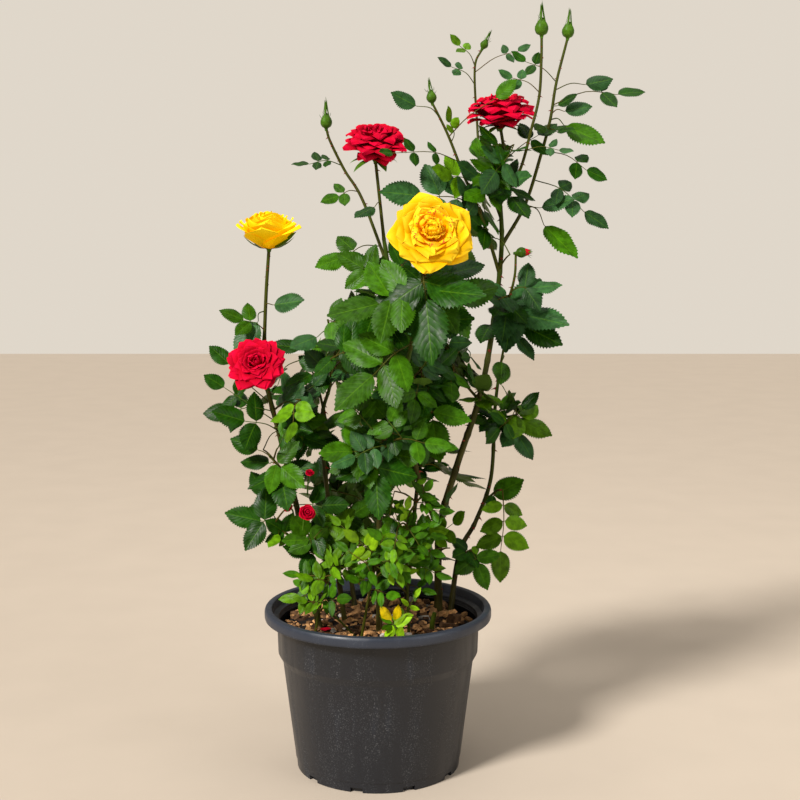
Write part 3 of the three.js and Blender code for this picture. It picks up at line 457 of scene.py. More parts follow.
class Shape:
    """Points and faces for one mesh, with four tone values a point that the finishes read."""

    def __init__(self):
        self.points = []
        self.tones = []
        self.faces = []
        self.finishes = []
        self.count = 0

    def add(self, points, faces, tones=PLAIN, finish=0):
        points = np.asarray(points, float).reshape(-1, 3)
        tones = np.asarray(tones, float)
        tones = tones.reshape(-1, 4) if tones.ndim > 1 else np.tile(tones, (len(points), 1))
        faces = np.asarray(faces)
        self.points.append(points)
        self.tones.append(tones)
        self.faces.append(faces + self.count)
        self.finishes.append(np.full(len(faces), finish))
        self.count += len(points)

    def piece(self, name, materials, flat=False):
        """The mesh as an object of the scene."""
        mesh = bpy.data.meshes.new(name)
        points = np.concatenate(self.points) * MM
        loops = np.concatenate([faces.ravel() for faces in self.faces])
        sizes = np.concatenate([np.full(len(faces), faces.shape[1]) for faces in self.faces])
        starts = np.concatenate([[0], np.cumsum(sizes)[:-1]])
        mesh.vertices.add(len(points))
        mesh.vertices.foreach_set("co", points.astype(np.float32).ravel())
        mesh.loops.add(len(loops))
        mesh.loops.foreach_set("vertex_index", loops.astype(np.int32))
        mesh.polygons.add(len(sizes))
        mesh.polygons.foreach_set("loop_start", starts.astype(np.int32))
        finishes = np.concatenate(self.finishes).astype(np.int32)
        mesh.polygons.foreach_set("material_index", finishes)
        mesh.polygons.foreach_set("use_smooth", np.full(len(sizes), not flat))
        for material in materials:
            mesh.materials.append(material)
        mesh.update(calc_edges=True)
        layer = mesh.color_attributes.new(TONE, "FLOAT_COLOR", "POINT")
        layer.data.foreach_set("color", np.concatenate(self.tones).astype(np.float32).ravel())
        mesh.validate()
        piece = bpy.data.objects.new(name, mesh)
        bpy.context.scene.collection.objects.link(piece)
        return piece


def blade_tones(along, across, tone, last):
    """Tone values for a grid of points: one for all, then along it, across it and the last."""
    tones = np.empty((len(along), len(across), 4))
    tones[..., 0] = tone
    tones[..., 1] = along[:, None]
    tones[..., 2] = np.abs(across)
    tones[..., 3] = last
    return tones.reshape(-1, 4)


def settle(piece, nodes=()):
    """Fixes a piece to the plant's one body and hides the solids' nodes that it stands for."""
    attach(piece, BODY)
    if nodes:
        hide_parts(*nodes)


def crossways(direction):
    """A unit vector square to a direction."""
    other = np.array([1.0, 0, 0]) if abs(direction[0]) < 0.7 else np.array([0, 1.0, 0])
    return unit(np.cross(direction, other))


def spoke(across, over, turn):
    """The direction at an angle between two that are square to each other."""
    return across * math.cos(turn) + over * math.sin(turn)


def tube_frames(line):
    """Unit tangents and two unit cross directions along a line, without twist."""
    tangents = np.gradient(line, axis=0)
    tangents /= np.maximum(np.linalg.norm(tangents, axis=1), 1e-9)[:, None]
    side = crossways(tangents[0])
    sides = []
    for tangent in tangents:
        side = unit(side - tangent * side.dot(tangent))
        sides.append(side)
    sides = np.array(sides)
    return tangents, sides, np.cross(tangents, sides)


# How far a tube's end is domed, by its radius, and the radius that counts as on the axis.
CAP_DOME = 0.3
ON_AXIS = 1e-6


@functools.lru_cache(maxsize=None)
def fan_faces(sides):
    """Triangles from each side of a ring of points to the point after the last."""
    index = np.arange(sides)
    return np.stack([index, (index + 1) % sides, np.full(sides, sides)], 1)


def add_tube(shape, line, radii, sides, tones=PLAIN, finish=0, relief=1):
    """A round bar along a line, closed at both ends. Relief scales the radius at each point."""
    line = np.asarray(line, float)
    radii = np.broadcast_to(np.asarray(radii, float), len(line))
    tangents, across, over = tube_frames(line)
    turn = np.arange(sides) * 2 * math.pi / sides
    out = np.cos(turn)[None, :, None] * across[:, None] + np.sin(turn)[None, :, None] * over[:, None]
    size = radii[:, None] * relief
    rings = line[:, None] + out * (size * np.ones((1, sides)))[:, :, None]
    tones = np.asarray(tones, float)
    if tones.ndim == 1:
        tones = np.tile(tones, (len(line), 1))
    ring_tones = np.repeat(tones[:, None], sides, 1).reshape(-1, 4)
    shape.add(rings, grid_faces(len(line), sides, True), ring_tones, finish)
    for row, order in ((0, -1), (len(line) - 1, 1)):
        centre = line[row] + tangents[row] * order * radii[row] * CAP_DOME
        points = np.vstack([rings[row], centre])
        shape.add(points, fan_faces(sides)[:, ::order], tones[row], finish)


def add_lathe(shape, profile, segments, place=(0, 0, 0), axis=UP, tones=PLAIN, finish=0,
              swell=None):
    """A profile of radius and height turned round an axis; ends on the axis are closed."""
    profile = np.asarray(profile, float)
    axis = unit(axis)
    across = crossways(axis)
    over = np.cross(axis, across)
    turn = np.arange(segments) * 2 * math.pi / segments
    wheel = np.cos(turn)[:, None] * across + np.sin(turn)[:, None] * over
    inner = profile[profile[:, 0] > ON_AXIS]
    size = inner[:, 0][:, None] * (1 if swell is None else swell(turn[None, :], inner[:, 1][:, None]))
    size = size * np.ones((1, segments))
    rings = size[:, :, None] * wheel[None] + inner[:, 1][:, None, None] * axis
    rings = rings + np.asarray(place, float)
    tones = np.asarray(tones, float)
    if tones.ndim == 1:
        tones = np.tile(tones, (len(profile), 1))
    ring_tones = np.repeat(tones[profile[:, 0] > ON_AXIS][:, None], segments, 1).reshape(-1, 4)
    shape.add(rings, grid_faces(len(inner), segments, True), ring_tones, finish)
    for end, order in ((0, -1), (-1, 1)):
        if profile[end][0] <= ON_AXIS:
            centre = np.asarray(place, float) + axis * profile[end][1]
            points = np.vstack([rings[end], centre])
            shape.add(points, fan_faces(segments)[:, ::order], tones[end], finish)


# Growth, by the same rule as the solids

def spline(points, shares):
    """Points on a smooth curve through the given points, each span an equal share of it."""
    points = np.asarray(points, float)
    last = len(points) - 1
    padded = np.vstack([2 * points[0] - points[1], points, 2 * points[-1] - points[-2]])
    where = np.clip(np.atleast_1d(shares), 0, 1) * last
    span = np.minimum(where.astype(int), last - 1)
    t = (where - span)[:, None]
    a, b, c, d = (padded[span + k] for k in range(4))
    leave, arrive = 0.5 * (c - a), 0.5 * (d - b)
    return (b + leave * t + (-3 * b + 3 * c - 2 * leave - arrive) * t ** 2
            + (2 * b - 2 * c + leave + arrive) * t ** 3)


def on_stem(stem, share):
    return spline(stem["points"], share)[0]


def ending_in(kind):
    """The shoots that end in a rose or a bud, with their numbers."""
    return [(number, row) for number, row in enumerate(SHOOTS)
            if row["end"] and row["end"][0] == kind]


def spaced(row, i):
    """The share of the stem where one of some evenly spaced leaves or twigs is rooted."""
    count, low, high, _ = row
    return mix(low, high, i / (count - 1) if count > 1 else 0.5)


def make_stem(stems, parent, share, route, radii):
    """A stem's route from its parent or from under the mix, with its radii."""
    points = [np.array(point if len(point) == 3 else (*point, MIX["level"] - ROOT_DEPTH), float)
              for point in route]
    if parent:
        points.insert(0, on_stem(stems[parent], share))
    return {"points": np.array(points), "rooted": parent is None, "radii": radii}


def seeded_tip(share, root, size, keys):
    """A seeded leaf's tip, up and out from its stem."""
    turn = chance(keys[0], 77) * 2 * math.pi + keys[1] * SPIRAL
    lift = mix(*TIP["rise"], share) + (chance(*keys, 5) - 0.5) * TIP["stray"]
    reach = size * (TIP["reach"] + chance(*keys, 6) * TIP["more"])
    out = unit([math.cos(turn), math.sin(turn), lift])
    return root + out * reach


def hung_tip(root, tip):
    """A fine leaf's tip: a leaf growing towards the light hangs and one at the back stands."""
    way = tip - root
    turned = way * HUNG_WAY + UP * way[1] * HUNG_PULL
    return root + unit(turned) * np.linalg.norm(way)


def facing(tip, keys):
    """Where a leaf's upper side turns: to the light, and outwards on the finer twigs."""
    outward = unit([tip[0] * SIDE_PULL, tip[1], 0])
    if keys[1] < FINE_KEYS:
        return LIGHT_SIDE + outward * OUTWARD_PULL
    return LIGHT_SIDE * FINE_LIGHT + outward * FINE_OUTWARD + UP * FINE_LIFT


def leaf_frame(root, tip, keys):
    """The way that a leaf runs, its upper side and its right hand."""
    direction = unit(tip - root)
    up = facing(tip, keys)
    stray = np.array([chance(*keys, 1) - 0.5, chance(*keys, 2) - 0.5, 0])
    up = up + stray * LEAF["face_stray"]
    up = unit(up - direction * up.dot(direction))
    return direction, up, np.cross(direction, up)


def plan_leaf(root, tip, size, pairs, keys):
    """A leaf's stalk and its leaflets: where each is rooted, its aim, its length."""
    direction, up, side = leaf_frame(root, tip, keys)
    reach = np.linalg.norm(tip - root)
    full = size * (LEAF["young"] if SHOOTS[keys[0]]["young"] else LEAF["full"])
    length = min(full, reach * LEAF["longest"])
    last = tip - direction * length
    bow = mix(root, last, 0.5) + up * LEAF["arch"] * reach
    stalk = [root, bow, last]
    leaflets = [(last, direction, up, length, 0)]
    for pair in range(pairs):
        spacing = LEAF["spacing"] * (LEAF["close"] if pairs > 2 else 1)
        joint = spline(stalk, LEAF["last_pair"] - pair * spacing)[0]
        longest = min(full, length * LEAF["pair_longest"])
        long = longest * (LEAF["pair_size"] - pair * LEAF["pair_shrink"])
        for hand in (-1, 1):
            stray = chance(*keys, 3 + pair, hand + 1) - 0.5
            angle = LEAF["pair_angle"] + stray * LEAF["angle_stray"]
            lift = chance(*keys, 9 + pair, hand + 1) - LEAF["pair_droop"]
            lift = lift * LEAF["lift_stray"]
            aim = direction * math.cos(angle) + side * hand * math.sin(angle) + up * lift
            leaflets.append((joint, unit(aim), up, long, 1 + 2 * pair + (hand + 1) // 2))
    wanted = LIGHT_SIDE if keys[1] < FINE_KEYS else facing(tip, keys)
    return {"stalk": stalk, "leaflets": leaflets, "wanted": unit(wanted), "size": size, "keys": keys}


# How many points of a limb are tested for each of its route, and which points of a leaflet.
LIMB_STEPS = 14
PROBES = ((0.45, 0), (0.75, 0), (1, 0), (0.45, 0.8), (0.45, -0.8))


class Clearance:
    """Tells whether a leaflet would run into a limb, a rose or another leaflet."""

    def __init__(self, stems, roses):
        limbs = []
        for name, stem in stems.items():
            steps = LIMB_STEPS * len(stem["points"])
            line = spline(stem["points"], np.linspace(0, 1, steps))
            foot, tip = stem["radii"]
            limbs += [(point, mix(foot, tip, k / (steps - 1)), name)
                      for k, point in enumerate(line)]
        self.limbs = limbs
        self.tree = kdtree.KDTree(len(limbs))
        for k, (point, _, _) in enumerate(limbs):
            self.tree.insert(point, k)
        self.tree.balance()
        self.roses = roses
        self.centres = []

    def crowded(self, centre, length, room):
        """Whether another leaflet's middle is nearer than the room, a share of the length."""
        if not self.centres or room <= 0:
            return False
        gaps = np.linalg.norm(np.array([c for c, _ in self.centres]) - centre, axis=1)
        return bool((gaps < room * length).any())

    def free(self, leaf, owner, room):
        """Whether all of a leaf's leaflets stay in the box and clear of what stands there."""
        for root, aim, up, length, _ in leaf["leaflets"]:
            side = np.cross(aim, up)
            for along, across in PROBES:
                half = LEAF["half_width"] * length
                point = root + aim * along * length + side * across * half
                if (point < BOX_LOW).any() or (point > BOX_HIGH).any():
                    return False
                for _, k, gap in self.tree.find_n(point, 2):
                    _, radius, name = self.limbs[k]
                    if gap < radius + CLEAR["own_limb" if name == owner else "limb"]:
                        return False
                for centre, radius, name in self.roses:
                    share = CLEAR["own_rose" if name == owner else "rose"]
                    if np.linalg.norm(point - centre) < radius * share:
                        return False
                if point[2] < MIX["level"] + CLEAR["mix"] and np.hypot(*point[:2]) < POT["rim"]:
                    return False
            if self.crowded(root + aim * 0.5 * length, length, room):
                return False
        return True

    def keep(self, leaf):
        """Notes where a leaf's leaflets are, for the leaves after it."""
        for root, aim, _, length, _ in leaf["leaflets"]:
            self.centres.append((root + aim * 0.5 * length, length))


def in_view(point):
    """Where a point stands on the upright plane through the pot's middle, as the camera sees it."""
    seen = EYE + (point - EYE) * (EYE[1] / (EYE[1] - point[1]))
    return seen[0], seen[2]


def in_crown(leaf):
    """Whether every leaflet lies within the crown's outline and leaves its gaps open."""
    for root, aim, _, length, _ in leaf["leaflets"]:
        for share in (0.5, 1):
            x, z = in_view(root + aim * length * share)
            if not (np.interp(z, CROWN_HEIGHTS, CROWN_LEFT) < x
                    < np.interp(z, CROWN_HEIGHTS, CROWN_RIGHT)):
                return False
            if any(left < x < right and low < z < high for left, right, low, high in SKY_GAPS):
                return False
    return True


def try_leaf(clearance, owner, root, tip, size, pairs, keys, reach, room, inside=False):
    """A leaf that meets something is tried again a little to one side, then left out."""
    if np.linalg.norm(tip - root) > reach:
        return None
    for attempt in range(TRIES):
        shift = [chance(*keys, axis, attempt) - 0.5 for axis in (21, 22, 23)]
        moved = tip + attempt * NUDGE * np.array(shift)
        leaf = plan_leaf(root, moved, size, pairs, keys)
        if inside and not in_crown(leaf):
            continue
        if clearance.free(leaf, owner, room):
            clearance.keep(leaf)
            return leaf
    return None


def grow_twig(row, stem, number, i):
    """A finer side twig's line, seeded, leaning out and up from its shoot."""
    size = row["fine"][3]
    keys = (number, TWIG_KEYS + i)
    root = on_stem(stem, spaced(row["fine"], i))
    turn = chance(number, 78) * 2 * math.pi + i * SPIRAL
    rise = spread(*TWIG["rise"], *keys, 1)
    out = unit([math.cos(turn), math.sin(turn), rise])
    long = size * spread(*TWIG["length"], *keys, 2)
    end = root + out * long + UP * long * TWIG["end_lift"]
    middle = mix(root, end, 0.5) + UP * long * TWIG["middle_lift"]
    return np.array([root, middle, end]), size * spread(*SIZE_SPREAD, *keys, 4)


@functools.lru_cache(maxsize=1)
def growth():
    """Every stem, leaf and twig of the plant."""
    stems = {}
    for name, parent, share, route, radii in CANES:
        stems[name] = make_stem(stems, parent, share, route, radii)
    for row in SHOOTS:
        stems[row["name"]] = make_stem(stems, row["parent"], row["share"], row["route"],
                                       row["radii"])
    roses = []
    for _, row in ending_in("rose"):
        _, radius, axis, deep = row["end"]
        centre = on_stem(stems[row["name"]], 1) + unit(axis) * radius * deep * 0.5
        roses.append((centre, radius, row["name"]))
    clearance = Clearance(stems, roses)
    leaves = []
    twigs = []

    def grow(number, key, root, tip, size, pairs, room, inside=False):
        """Adds a leaf to its shoot and returns it, or None where it has no room."""
        row = SHOOTS[number]
        leaf = try_leaf(clearance, row["name"], root, np.array(tip, float), size, pairs,
                        (number, key), row["reach"], room, inside)
        if leaf:
            leaves.append((number, leaf))
        return leaf

    for number, row in enumerate(SHOOTS):
        for i, (share, tip, size, pairs) in enumerate(row["leaves"]):
            grow(number, i, on_stem(stems[row["name"]], share), tip, size, pairs, 0)
    for number, row in enumerate(SHOOTS):
        stem = stems[row["name"]]
        for i in range(row["fill"][0] if row["fill"] else 0):
            keys = (number, FILL_KEYS + i)
            share = spaced(row["fill"], i)
            size = row["fill"][3] * spread(*SIZE_SPREAD, *keys, 4)
            root = on_stem(stem, share)
            tip = seeded_tip(share, root, size, keys)
            grow(*keys, root, tip, size, 2, FILL_ROOM, inside=True)
        for i, (share, tip, size, pairs, finish) in enumerate(row["small"]):
            leaf = grow(number, SMALL_KEYS + i, on_stem(stem, share), tip, size, pairs, 0)
            if leaf:
                leaf["finish"] = finish
    for number, row in enumerate(SHOOTS):
        for i in range(row["fine"][0] if row["fine"] else 0):
            line, size = grow_twig(row, stems[row["name"]], number, i)
            leafy = 0
            for k, share in enumerate(TWIG["leaves"]):
                keys = (number, FINE_KEYS + 10 * i + k)
                root = spline(line, share)[0]
                tip = hung_tip(root, seeded_tip(TWIG["leaf_share"], root, size, keys))
                if grow(*keys, root, tip, size, 2 - k % 2, FINE_ROOM, inside=True):
                    leafy = share
            if leafy:
                twigs.append(spline(line, np.linspace(0, leafy, 5)))
    return {"stems": stems, "leaves": leaves, "twigs": twigs}


# Leaflets, petals and other blades

LEAFLET_ROWS = 31
LEAFLET_COLUMNS = 7

# A leaflet's outline: how full it is at the foot and the tip and where it tapers, and how far
# its teeth stand out, cut in and point forward.
OUTLINE = {"foot": 0.6, "tip": 0.86, "taper": 0.3, "taper_from": 0.78}
TOOTH = {"out": 0.15, "cut": 0.05, "forward": 0.7}

# How leaflets vary: tilt and fold as angles; droop, curl and wave as shares of the length.
VARIED = {
    "tilt": (-0.32, 0.32), "size": (0.9, 1.08), "fold": (0.1, 0.42), "droop": (-0.03, 0.09),
    "curl": (-0.16, 0.1), "wave": (0.01, 0.035), "phase": (0, 6.28),
}
DISH = 0.32
WAVES = 9


@functools.lru_cache(maxsize=1)
def leaflet_pattern():
    """A leaflet of length 1 and half width 1: places along and across, and tooth marks."""
    along = np.linspace(0, 1, LEAFLET_ROWS)
    across = np.linspace(-1, 1, LEAFLET_COLUMNS)
    taper = 1 - OUTLINE["taper"] * smooth(OUTLINE["taper_from"], 1, along)
    half = along ** OUTLINE["foot"] * (1 - along) ** OUTLINE["tip"] * taper
    half = half / half.max()
    half[0] = 0.03
    half[-1] = 0.02
    tooth = np.where(np.arange(LEAFLET_ROWS) % 2, 1.0, 0.0)
    tooth[[0, -1]] = 0
    edge = np.abs(across) ** 4
    width = half[:, None] * (1 + edge[None, :] * (tooth[:, None] * TOOTH["out"] - TOOTH["cut"]))
    forward = along[:, None] + edge[None, :] * tooth[:, None] * TOOTH["forward"] / LEAFLET_ROWS
    return along, across, width, np.minimum(forward, 1)


def add_leaflet(shape, root, aim, up, wanted, length, keys, finish, tone, breadth):
    """One toothed leaflet, folded a little along its rib, with a drooping tip."""
    along, across, width, forward = leaflet_pattern()
    up = mix(up, wanted, LIGHT_TURN)
    up = unit(up - aim * up.dot(aim))
    tilt = spread(*VARIED["tilt"], *keys, 61)
    side = np.cross(aim, up)
    up = unit(up * math.cos(tilt) + side * math.sin(tilt))
    side = np.cross(aim, up)
    half = LEAF["half_width"] * length * spread(*VARIED["size"], *keys, 62) * breadth
    fold = spread(*VARIED["fold"], *keys, 63)
    droop = spread(*VARIED["droop"], *keys, 64)
    curl = spread(*VARIED["curl"], *keys, 65)
    wave = spread(*VARIED["wave"], *keys, 66) * length
    phase = spread(*VARIED["phase"], *keys, 67)
    out = width * across[None, :]
    raised = np.abs(out) * half * math.sin(fold) - half * DISH * out ** 2
    raised = raised - length * droop * forward ** 2
    raised = raised + wave * np.abs(out) ** 2 * np.sin(WAVES * forward + phase)
    swing = side * curl * length
    points = (root + aim * (forward * length)[:, :, None]
              + side * (out * half * math.cos(fold))[:, :, None]
              + up * raised[:, :, None] + swing * (forward ** 2 * 0.5)[:, :, None])
    shape.add(points, grid_faces(LEAFLET_ROWS, LEAFLET_COLUMNS),
              blade_tones(along, across, tone, chance(*keys, 68)), finish)


# Below low and to the right of left some leaves are fresh, and above high some take the dusky green,
# partly a painted sheen of glancing light and partly the leaves' own variety.
# The other entries are the shares of each green, counted from the one before.
GREENS = {
    "low": 320, "left": -60, "high": 380, "low_fresh": 0.4, "dusky_sheen": 0.3, "deep": 0.5,
    "middle": 0.88, "young_lime": 0.05, "young_fresh": 0.4,
}


def leaf_finish(row, leaf):
    """Which green a spray takes."""
    pick = chance(*leaf["keys"], 51)
    x, _, height = leaf["stalk"][2]
    if "finish" in leaf:
        return leaf["finish"]
    if row["name"] == "rim_leaf_shoot":
        return MIDDLE if leaf["keys"][1] == 0 else LIME
    if row["young"]:
        if pick < GREENS["young_lime"]:
            return LIME
        return FRESH if pick < GREENS["young_fresh"] else MIDDLE
    if height < GREENS["low"] and x > GREENS["left"] and pick < GREENS["low_fresh"]:
        return FRESH
    if height > GREENS["high"] and chance(*leaf["keys"], 54) < GREENS["dusky_sheen"]:
        return DUSKY_SHEEN
    if pick < GREENS["deep"]:
        return DEEP
    return MIDDLE if pick < GREENS["middle"] else FRESH


# How broad leaflets are by the pattern, and the share of their length that is stem.
BREADTH = {"young": 0.72, "grown": 0.93}
LEAFLET_STEM = 0.04


def add_leaf(shape, row, leaf):
    """A leaf's leaflets, each set off a little from its stalk."""
    finish = leaf_finish(row, leaf)
    breadth = BREADTH["young" if row["young"] else "grown"]
    for root, aim, up, length, number in leaf["leaflets"]:
        keys = (*leaf["keys"], number)
        start = root + aim * LEAFLET_STEM * length
        add_leaflet(shape, start, aim, up, leaf["wanted"], length * (1 - LEAFLET_STEM), keys,
                    finish, chance(*keys, 52), breadth)


def add_stalk(shape, leaf):
    """The leaf's stalk, thicker at the foot, and the leaflets' short stems."""
    shares = np.linspace(0, 1, 9)
    line = spline(leaf["stalk"], shares)
    thick = 0.42 + leaf["size"] * 0.007
    redness = chance(*leaf["keys"], 53)
    tones = [(redness, share, 0, 0.3) for share in shares]
    add_tube(shape, line, np.linspace(thick * 1.25, thick * 0.7, 9), 5, tones, 1)
    for root, aim, _, length, _ in leaf["leaflets"]:
        stem = [root, root + aim * 0.07 * length]
        add_tube(shape, stem, thick * 0.6, 5, (redness, 0.8, 0, 0.3), 1)


def add_blade(shape, root, aim, up, length, half, bend, tone, finish, rows=9, folded=0.25):
    """A long narrow pointed blade such as a sepal, bent towards its upper side."""
    along = np.linspace(0, 1, rows)
    across = np.array([-1.0, 0.0, 1.0])
    width = np.maximum(np.sin(np.pi * np.minimum(along * 0.9 + 0.12, 1)) ** 0.8 * half, 0.12)
    angle = bend * along
    step = length / (rows - 1)
    run = np.concatenate([[0], np.cumsum(np.cos(angle[1:]) * step)])
    rise = np.concatenate([[0], np.cumsum(np.sin(angle[1:]) * step)])
    side = np.cross(aim, up)
    points = (root + aim * run[:, None, None] + up * rise[:, None, None]
              + side * (width[:, None] * across)[:, :, None]
              + up * (width[:, None] * np.abs(across) * folded)[:, :, None])
    shape.add(points, grid_faces(rows, 3), blade_tones(along, across, tone, 0), finish)


# Roses

# How pointed and how wavy each kind's petals are, and how far their height strays.
PETAL_LOOKS = {
    "red": (1.0, 0.045, 0.07), "small": (0.4, 0.06, 0.07), "yellow": (0.7, 0.07, 0.07),
    "cup": (0.15, 0.035, 0.02),
}
PETAL_ROWS = 13
PETAL_COLUMNS = 13

# Where along it a petal is widest, the turn from whorl to whorl, and the sepals of a flower.
WIDEST = 0.6
RING_TURN = 0.382
SEPALS = 5

# Whorls from the heart outwards: petals, where the tip stands and where the petal heads for
# first (each out from the axis and up, as shares of the rose's radius and depth), half width,
# how far the rim rolls back, and how loosely the petal wraps the axis.
WHORLS = {
    "red": [
        (3, (0.05, 1.0), (0.1, 0.6), 0.16, 0.0, 1.0), (4, (0.13, 1.02), (0.18, 0.6), 0.2, 0.1, 1.0),
        (5, (0.24, 1.02), (0.26, 0.7), 0.26, 0.3, 1.0), (6, (0.38, 1.0), (0.32, 0.85), 0.28, 0.45, 1.1),
        (7, (0.54, 0.96), (0.38, 0.98), 0.28, 0.45, 1.2), (8, (0.7, 0.9), (0.44, 1.0), 0.3, 0.45, 1.4),
        (9, (0.84, 0.81), (0.52, 0.96), 0.32, 0.45, 1.6), (9, (0.97, 0.69), (0.6, 0.86), 0.34, 0.4, 1.8),
        (8, (1.02, 0.55), (0.68, 0.7), 0.36, 0.4, 1.8), (6, (0.92, 0.36), (0.66, 0.52), 0.36, 0.4, 1.8),
        (4, (0.66, 0.16), (0.5, 0.36), 0.3, 0.4, 1.8),
    ],
    "small": [
        (3, (0.1, 1.0), (0.2, 0.7), 0.4, 0.1, 1.0), (4, (0.35, 0.96), (0.4, 0.6), 0.5, 0.2, 1.0),
        (5, (0.7, 0.8), (0.6, 0.5), 0.6, 0.3, 1.2), (5, (1.0, 0.5), (0.8, 0.3), 0.65, 0.4, 1.4),
    ],
    "yellow": [
        (6, (0.02, 0.95), (0.22, 0.92), 0.18, 0.3, 1.0), (7, (0.1, 0.92), (0.28, 0.84), 0.18, 0.4, 1.0),
        (8, (0.2, 0.88), (0.32, 0.74), 0.18, 0.5, 1.0), (6, (0.42, 0.96), (0.36, 0.6), 0.28, 0.4, 1.1),
        (7, (0.54, 0.9), (0.42, 0.6), 0.32, 0.5, 1.2), (7, (0.68, 0.8), (0.5, 0.62), 0.38, 0.6, 1.4),
        (7, (0.82, 0.66), (0.58, 0.6), 0.42, 0.6, 1.6), (6, (0.95, 0.48), (0.64, 0.5), 0.46, 0.6, 1.8),
        (5, (1.04, 0.3), (0.68, 0.38), 0.5, 0.6, 2.0),
    ],
    "cup": [
        (3, (0.05, 0.96), (0.25, 0.9), 0.36, 0.0, 1.0), (5, (0.24, 0.97), (0.4, 0.78), 0.42, 0.05, 1.0),
        (5, (0.42, 0.95), (0.48, 0.6), 0.5, 0.1, 1.0), (5, (0.58, 0.92), (0.54, 0.42), 0.58, 0.1, 1.0),
        (5, (0.72, 0.87), (0.56, 0.28), 0.66, 0.12, 1.0), (5, (0.84, 0.81), (0.56, 0.17), 0.72, 0.15, 1.0),
        (5, (0.94, 0.72), (0.52, 0.08), 0.76, 0.2, 1.0),
    ],
}


def petal_points(tip, first, width, roll, loose, pointed, wavy, keys):
    """A petal in the rose's frame: x outwards from the axis, y sideways and z up."""
    along = 1 - (1 - np.linspace(0, 1, PETAL_ROWS)) ** 1.6
    across = np.linspace(-1, 1, PETAL_COLUMNS)
    v = along[:, None]
    foot = np.array([0.05, 0.0])
    line = (1 - v) ** 2 * foot + 2 * v * (1 - v) * np.array(first) + v ** 2 * np.array(tip)
    bend = smooth(0.7, 1, v) ** 1.5 * roll
    line = line + np.hstack([0.06 * bend, -0.13 * bend])
    heading = np.gradient(line, axis=0)
    heading /= np.maximum(np.linalg.norm(heading, axis=1), 1e-6)[:, None]
    face_out, face_up = heading[:, 1:2], -heading[:, 0:1]
    body = np.sin(np.pi / 2 * np.minimum(along / WIDEST, 1)) ** 0.7
    end = np.clip((along - WIDEST) / (1 - WIDEST), 0, 1)
    end = 1 - end ** mix(3.2, 1.9, pointed)
    half = width * np.where(along < WIDEST, np.maximum(body, 0.25), end)
    half = np.maximum(half, 0.012)[:, None]
    curve = (line[:, 0:1] + 0.05) * loose
    swing = np.clip(half * across[None, :] / curve, -2.2, 2.2)
    x = line[:, 0:1] - curve * (1 - np.cos(swing))
    y = curve * np.sin(swing)
    z = line[:, 1:2] + 0 * across[None, :]
    edge = np.abs(across)[None, :]
    rim = smooth(0.35, 1, v)
    wave = np.sin(across[None, :] * spread(4, 7, *keys, 8) + spread(0, 6.28, *keys, 1))
    push = roll * (0.2 * edge ** 2.5) * rim * width * 1.6 + wavy * wave * rim * edge
    push = push + 0.02 * np.sin(v * 8 + spread(0, 6.28, *keys, 9)) * rim
    x = x + push * face_out * np.cos(swing)
    y = y + push * face_out * np.sin(swing)
    z = z + push * face_up - roll * 0.1 * edge ** 3 * rim * (1 - 0.5 * pointed)
    return np.stack([x, y, z], -1), along, across


def add_rose(flower, place, axis, radius, deep, kind, seed):
    """A rose of whorled petals, scaled to its radius and depth, with its place on the stem."""
    whorls = WHORLS[kind]
    pointed, wavy, stray = PETAL_LOOKS[kind]
    axis = unit(axis)
    across_axis = crossways(axis)
    over = np.cross(axis, across_axis)
    for ring, (count, tip, first, width, roll, loose) in enumerate(whorls):
        for k in range(count):
            keys = (seed, ring, k)
            size = spread(0.94, 1.05, *keys, 2)
            lift = spread(-stray, stray, *keys, 3)
            points, along, across = petal_points(
                (tip[0] * size, tip[1] + lift), (first[0] * size, first[1] + lift),
                width * spread(0.9, 1.1, *keys, 4), roll * spread(0.7, 1.3, *keys, 7), loose,
                pointed, wavy, keys)
            turn = 2 * math.pi * (k / count + ring * RING_TURN) + spread(-0.12, 0.12, *keys, 5)
            c, s = math.cos(turn), math.sin(turn)
            x, y, z = points[..., 0], points[..., 1], points[..., 2] * deep
            out, aside = x * c - y * s, x * s + y * c
            world = np.asarray(place) + radius * (
                out[..., None] * across_axis + aside[..., None] * over + z[..., None] * axis)
            tones = blade_tones(along, across, chance(*keys, 6), ring / (len(whorls) - 1))
            flower.add(world, grid_faces(PETAL_ROWS, PETAL_COLUMNS), tones, 0)
    if kind == "yellow":
        heart = [(0, 0.1), (0.13, 0.3), (0.15, 0.7), (0.13, 0.82), (0.07, 0.9), (0, 0.92)]
        add_lathe(flower, [(wide * radius, high * radius * deep) for wide, high in heart], 18,
                  place, axis, (0.6, 0.6, 0, 0), 0,
                  lambda turn, height: 1 + 0.1 * np.cos(5 * turn + height * 0.2))


# The sepals' half width by the rose's radius, and the broad sepal at the right of the side
# yellow rose, with its length and half width by the rose's radius too.
SEPAL_HALF = {"open": 0.085, "closed": (0.08, 0.15)}
LEAFY_SEPAL = {
    "root": (8, -12, 3), "aim": (0.9, -0.25, 0.62), "up": (0.5, 0.75, -0.85), "length": 0.82,
    "half": 0.17, "bend": 0.1, "tone": 0.3, "rows": 13, "folded": 0.15,
}


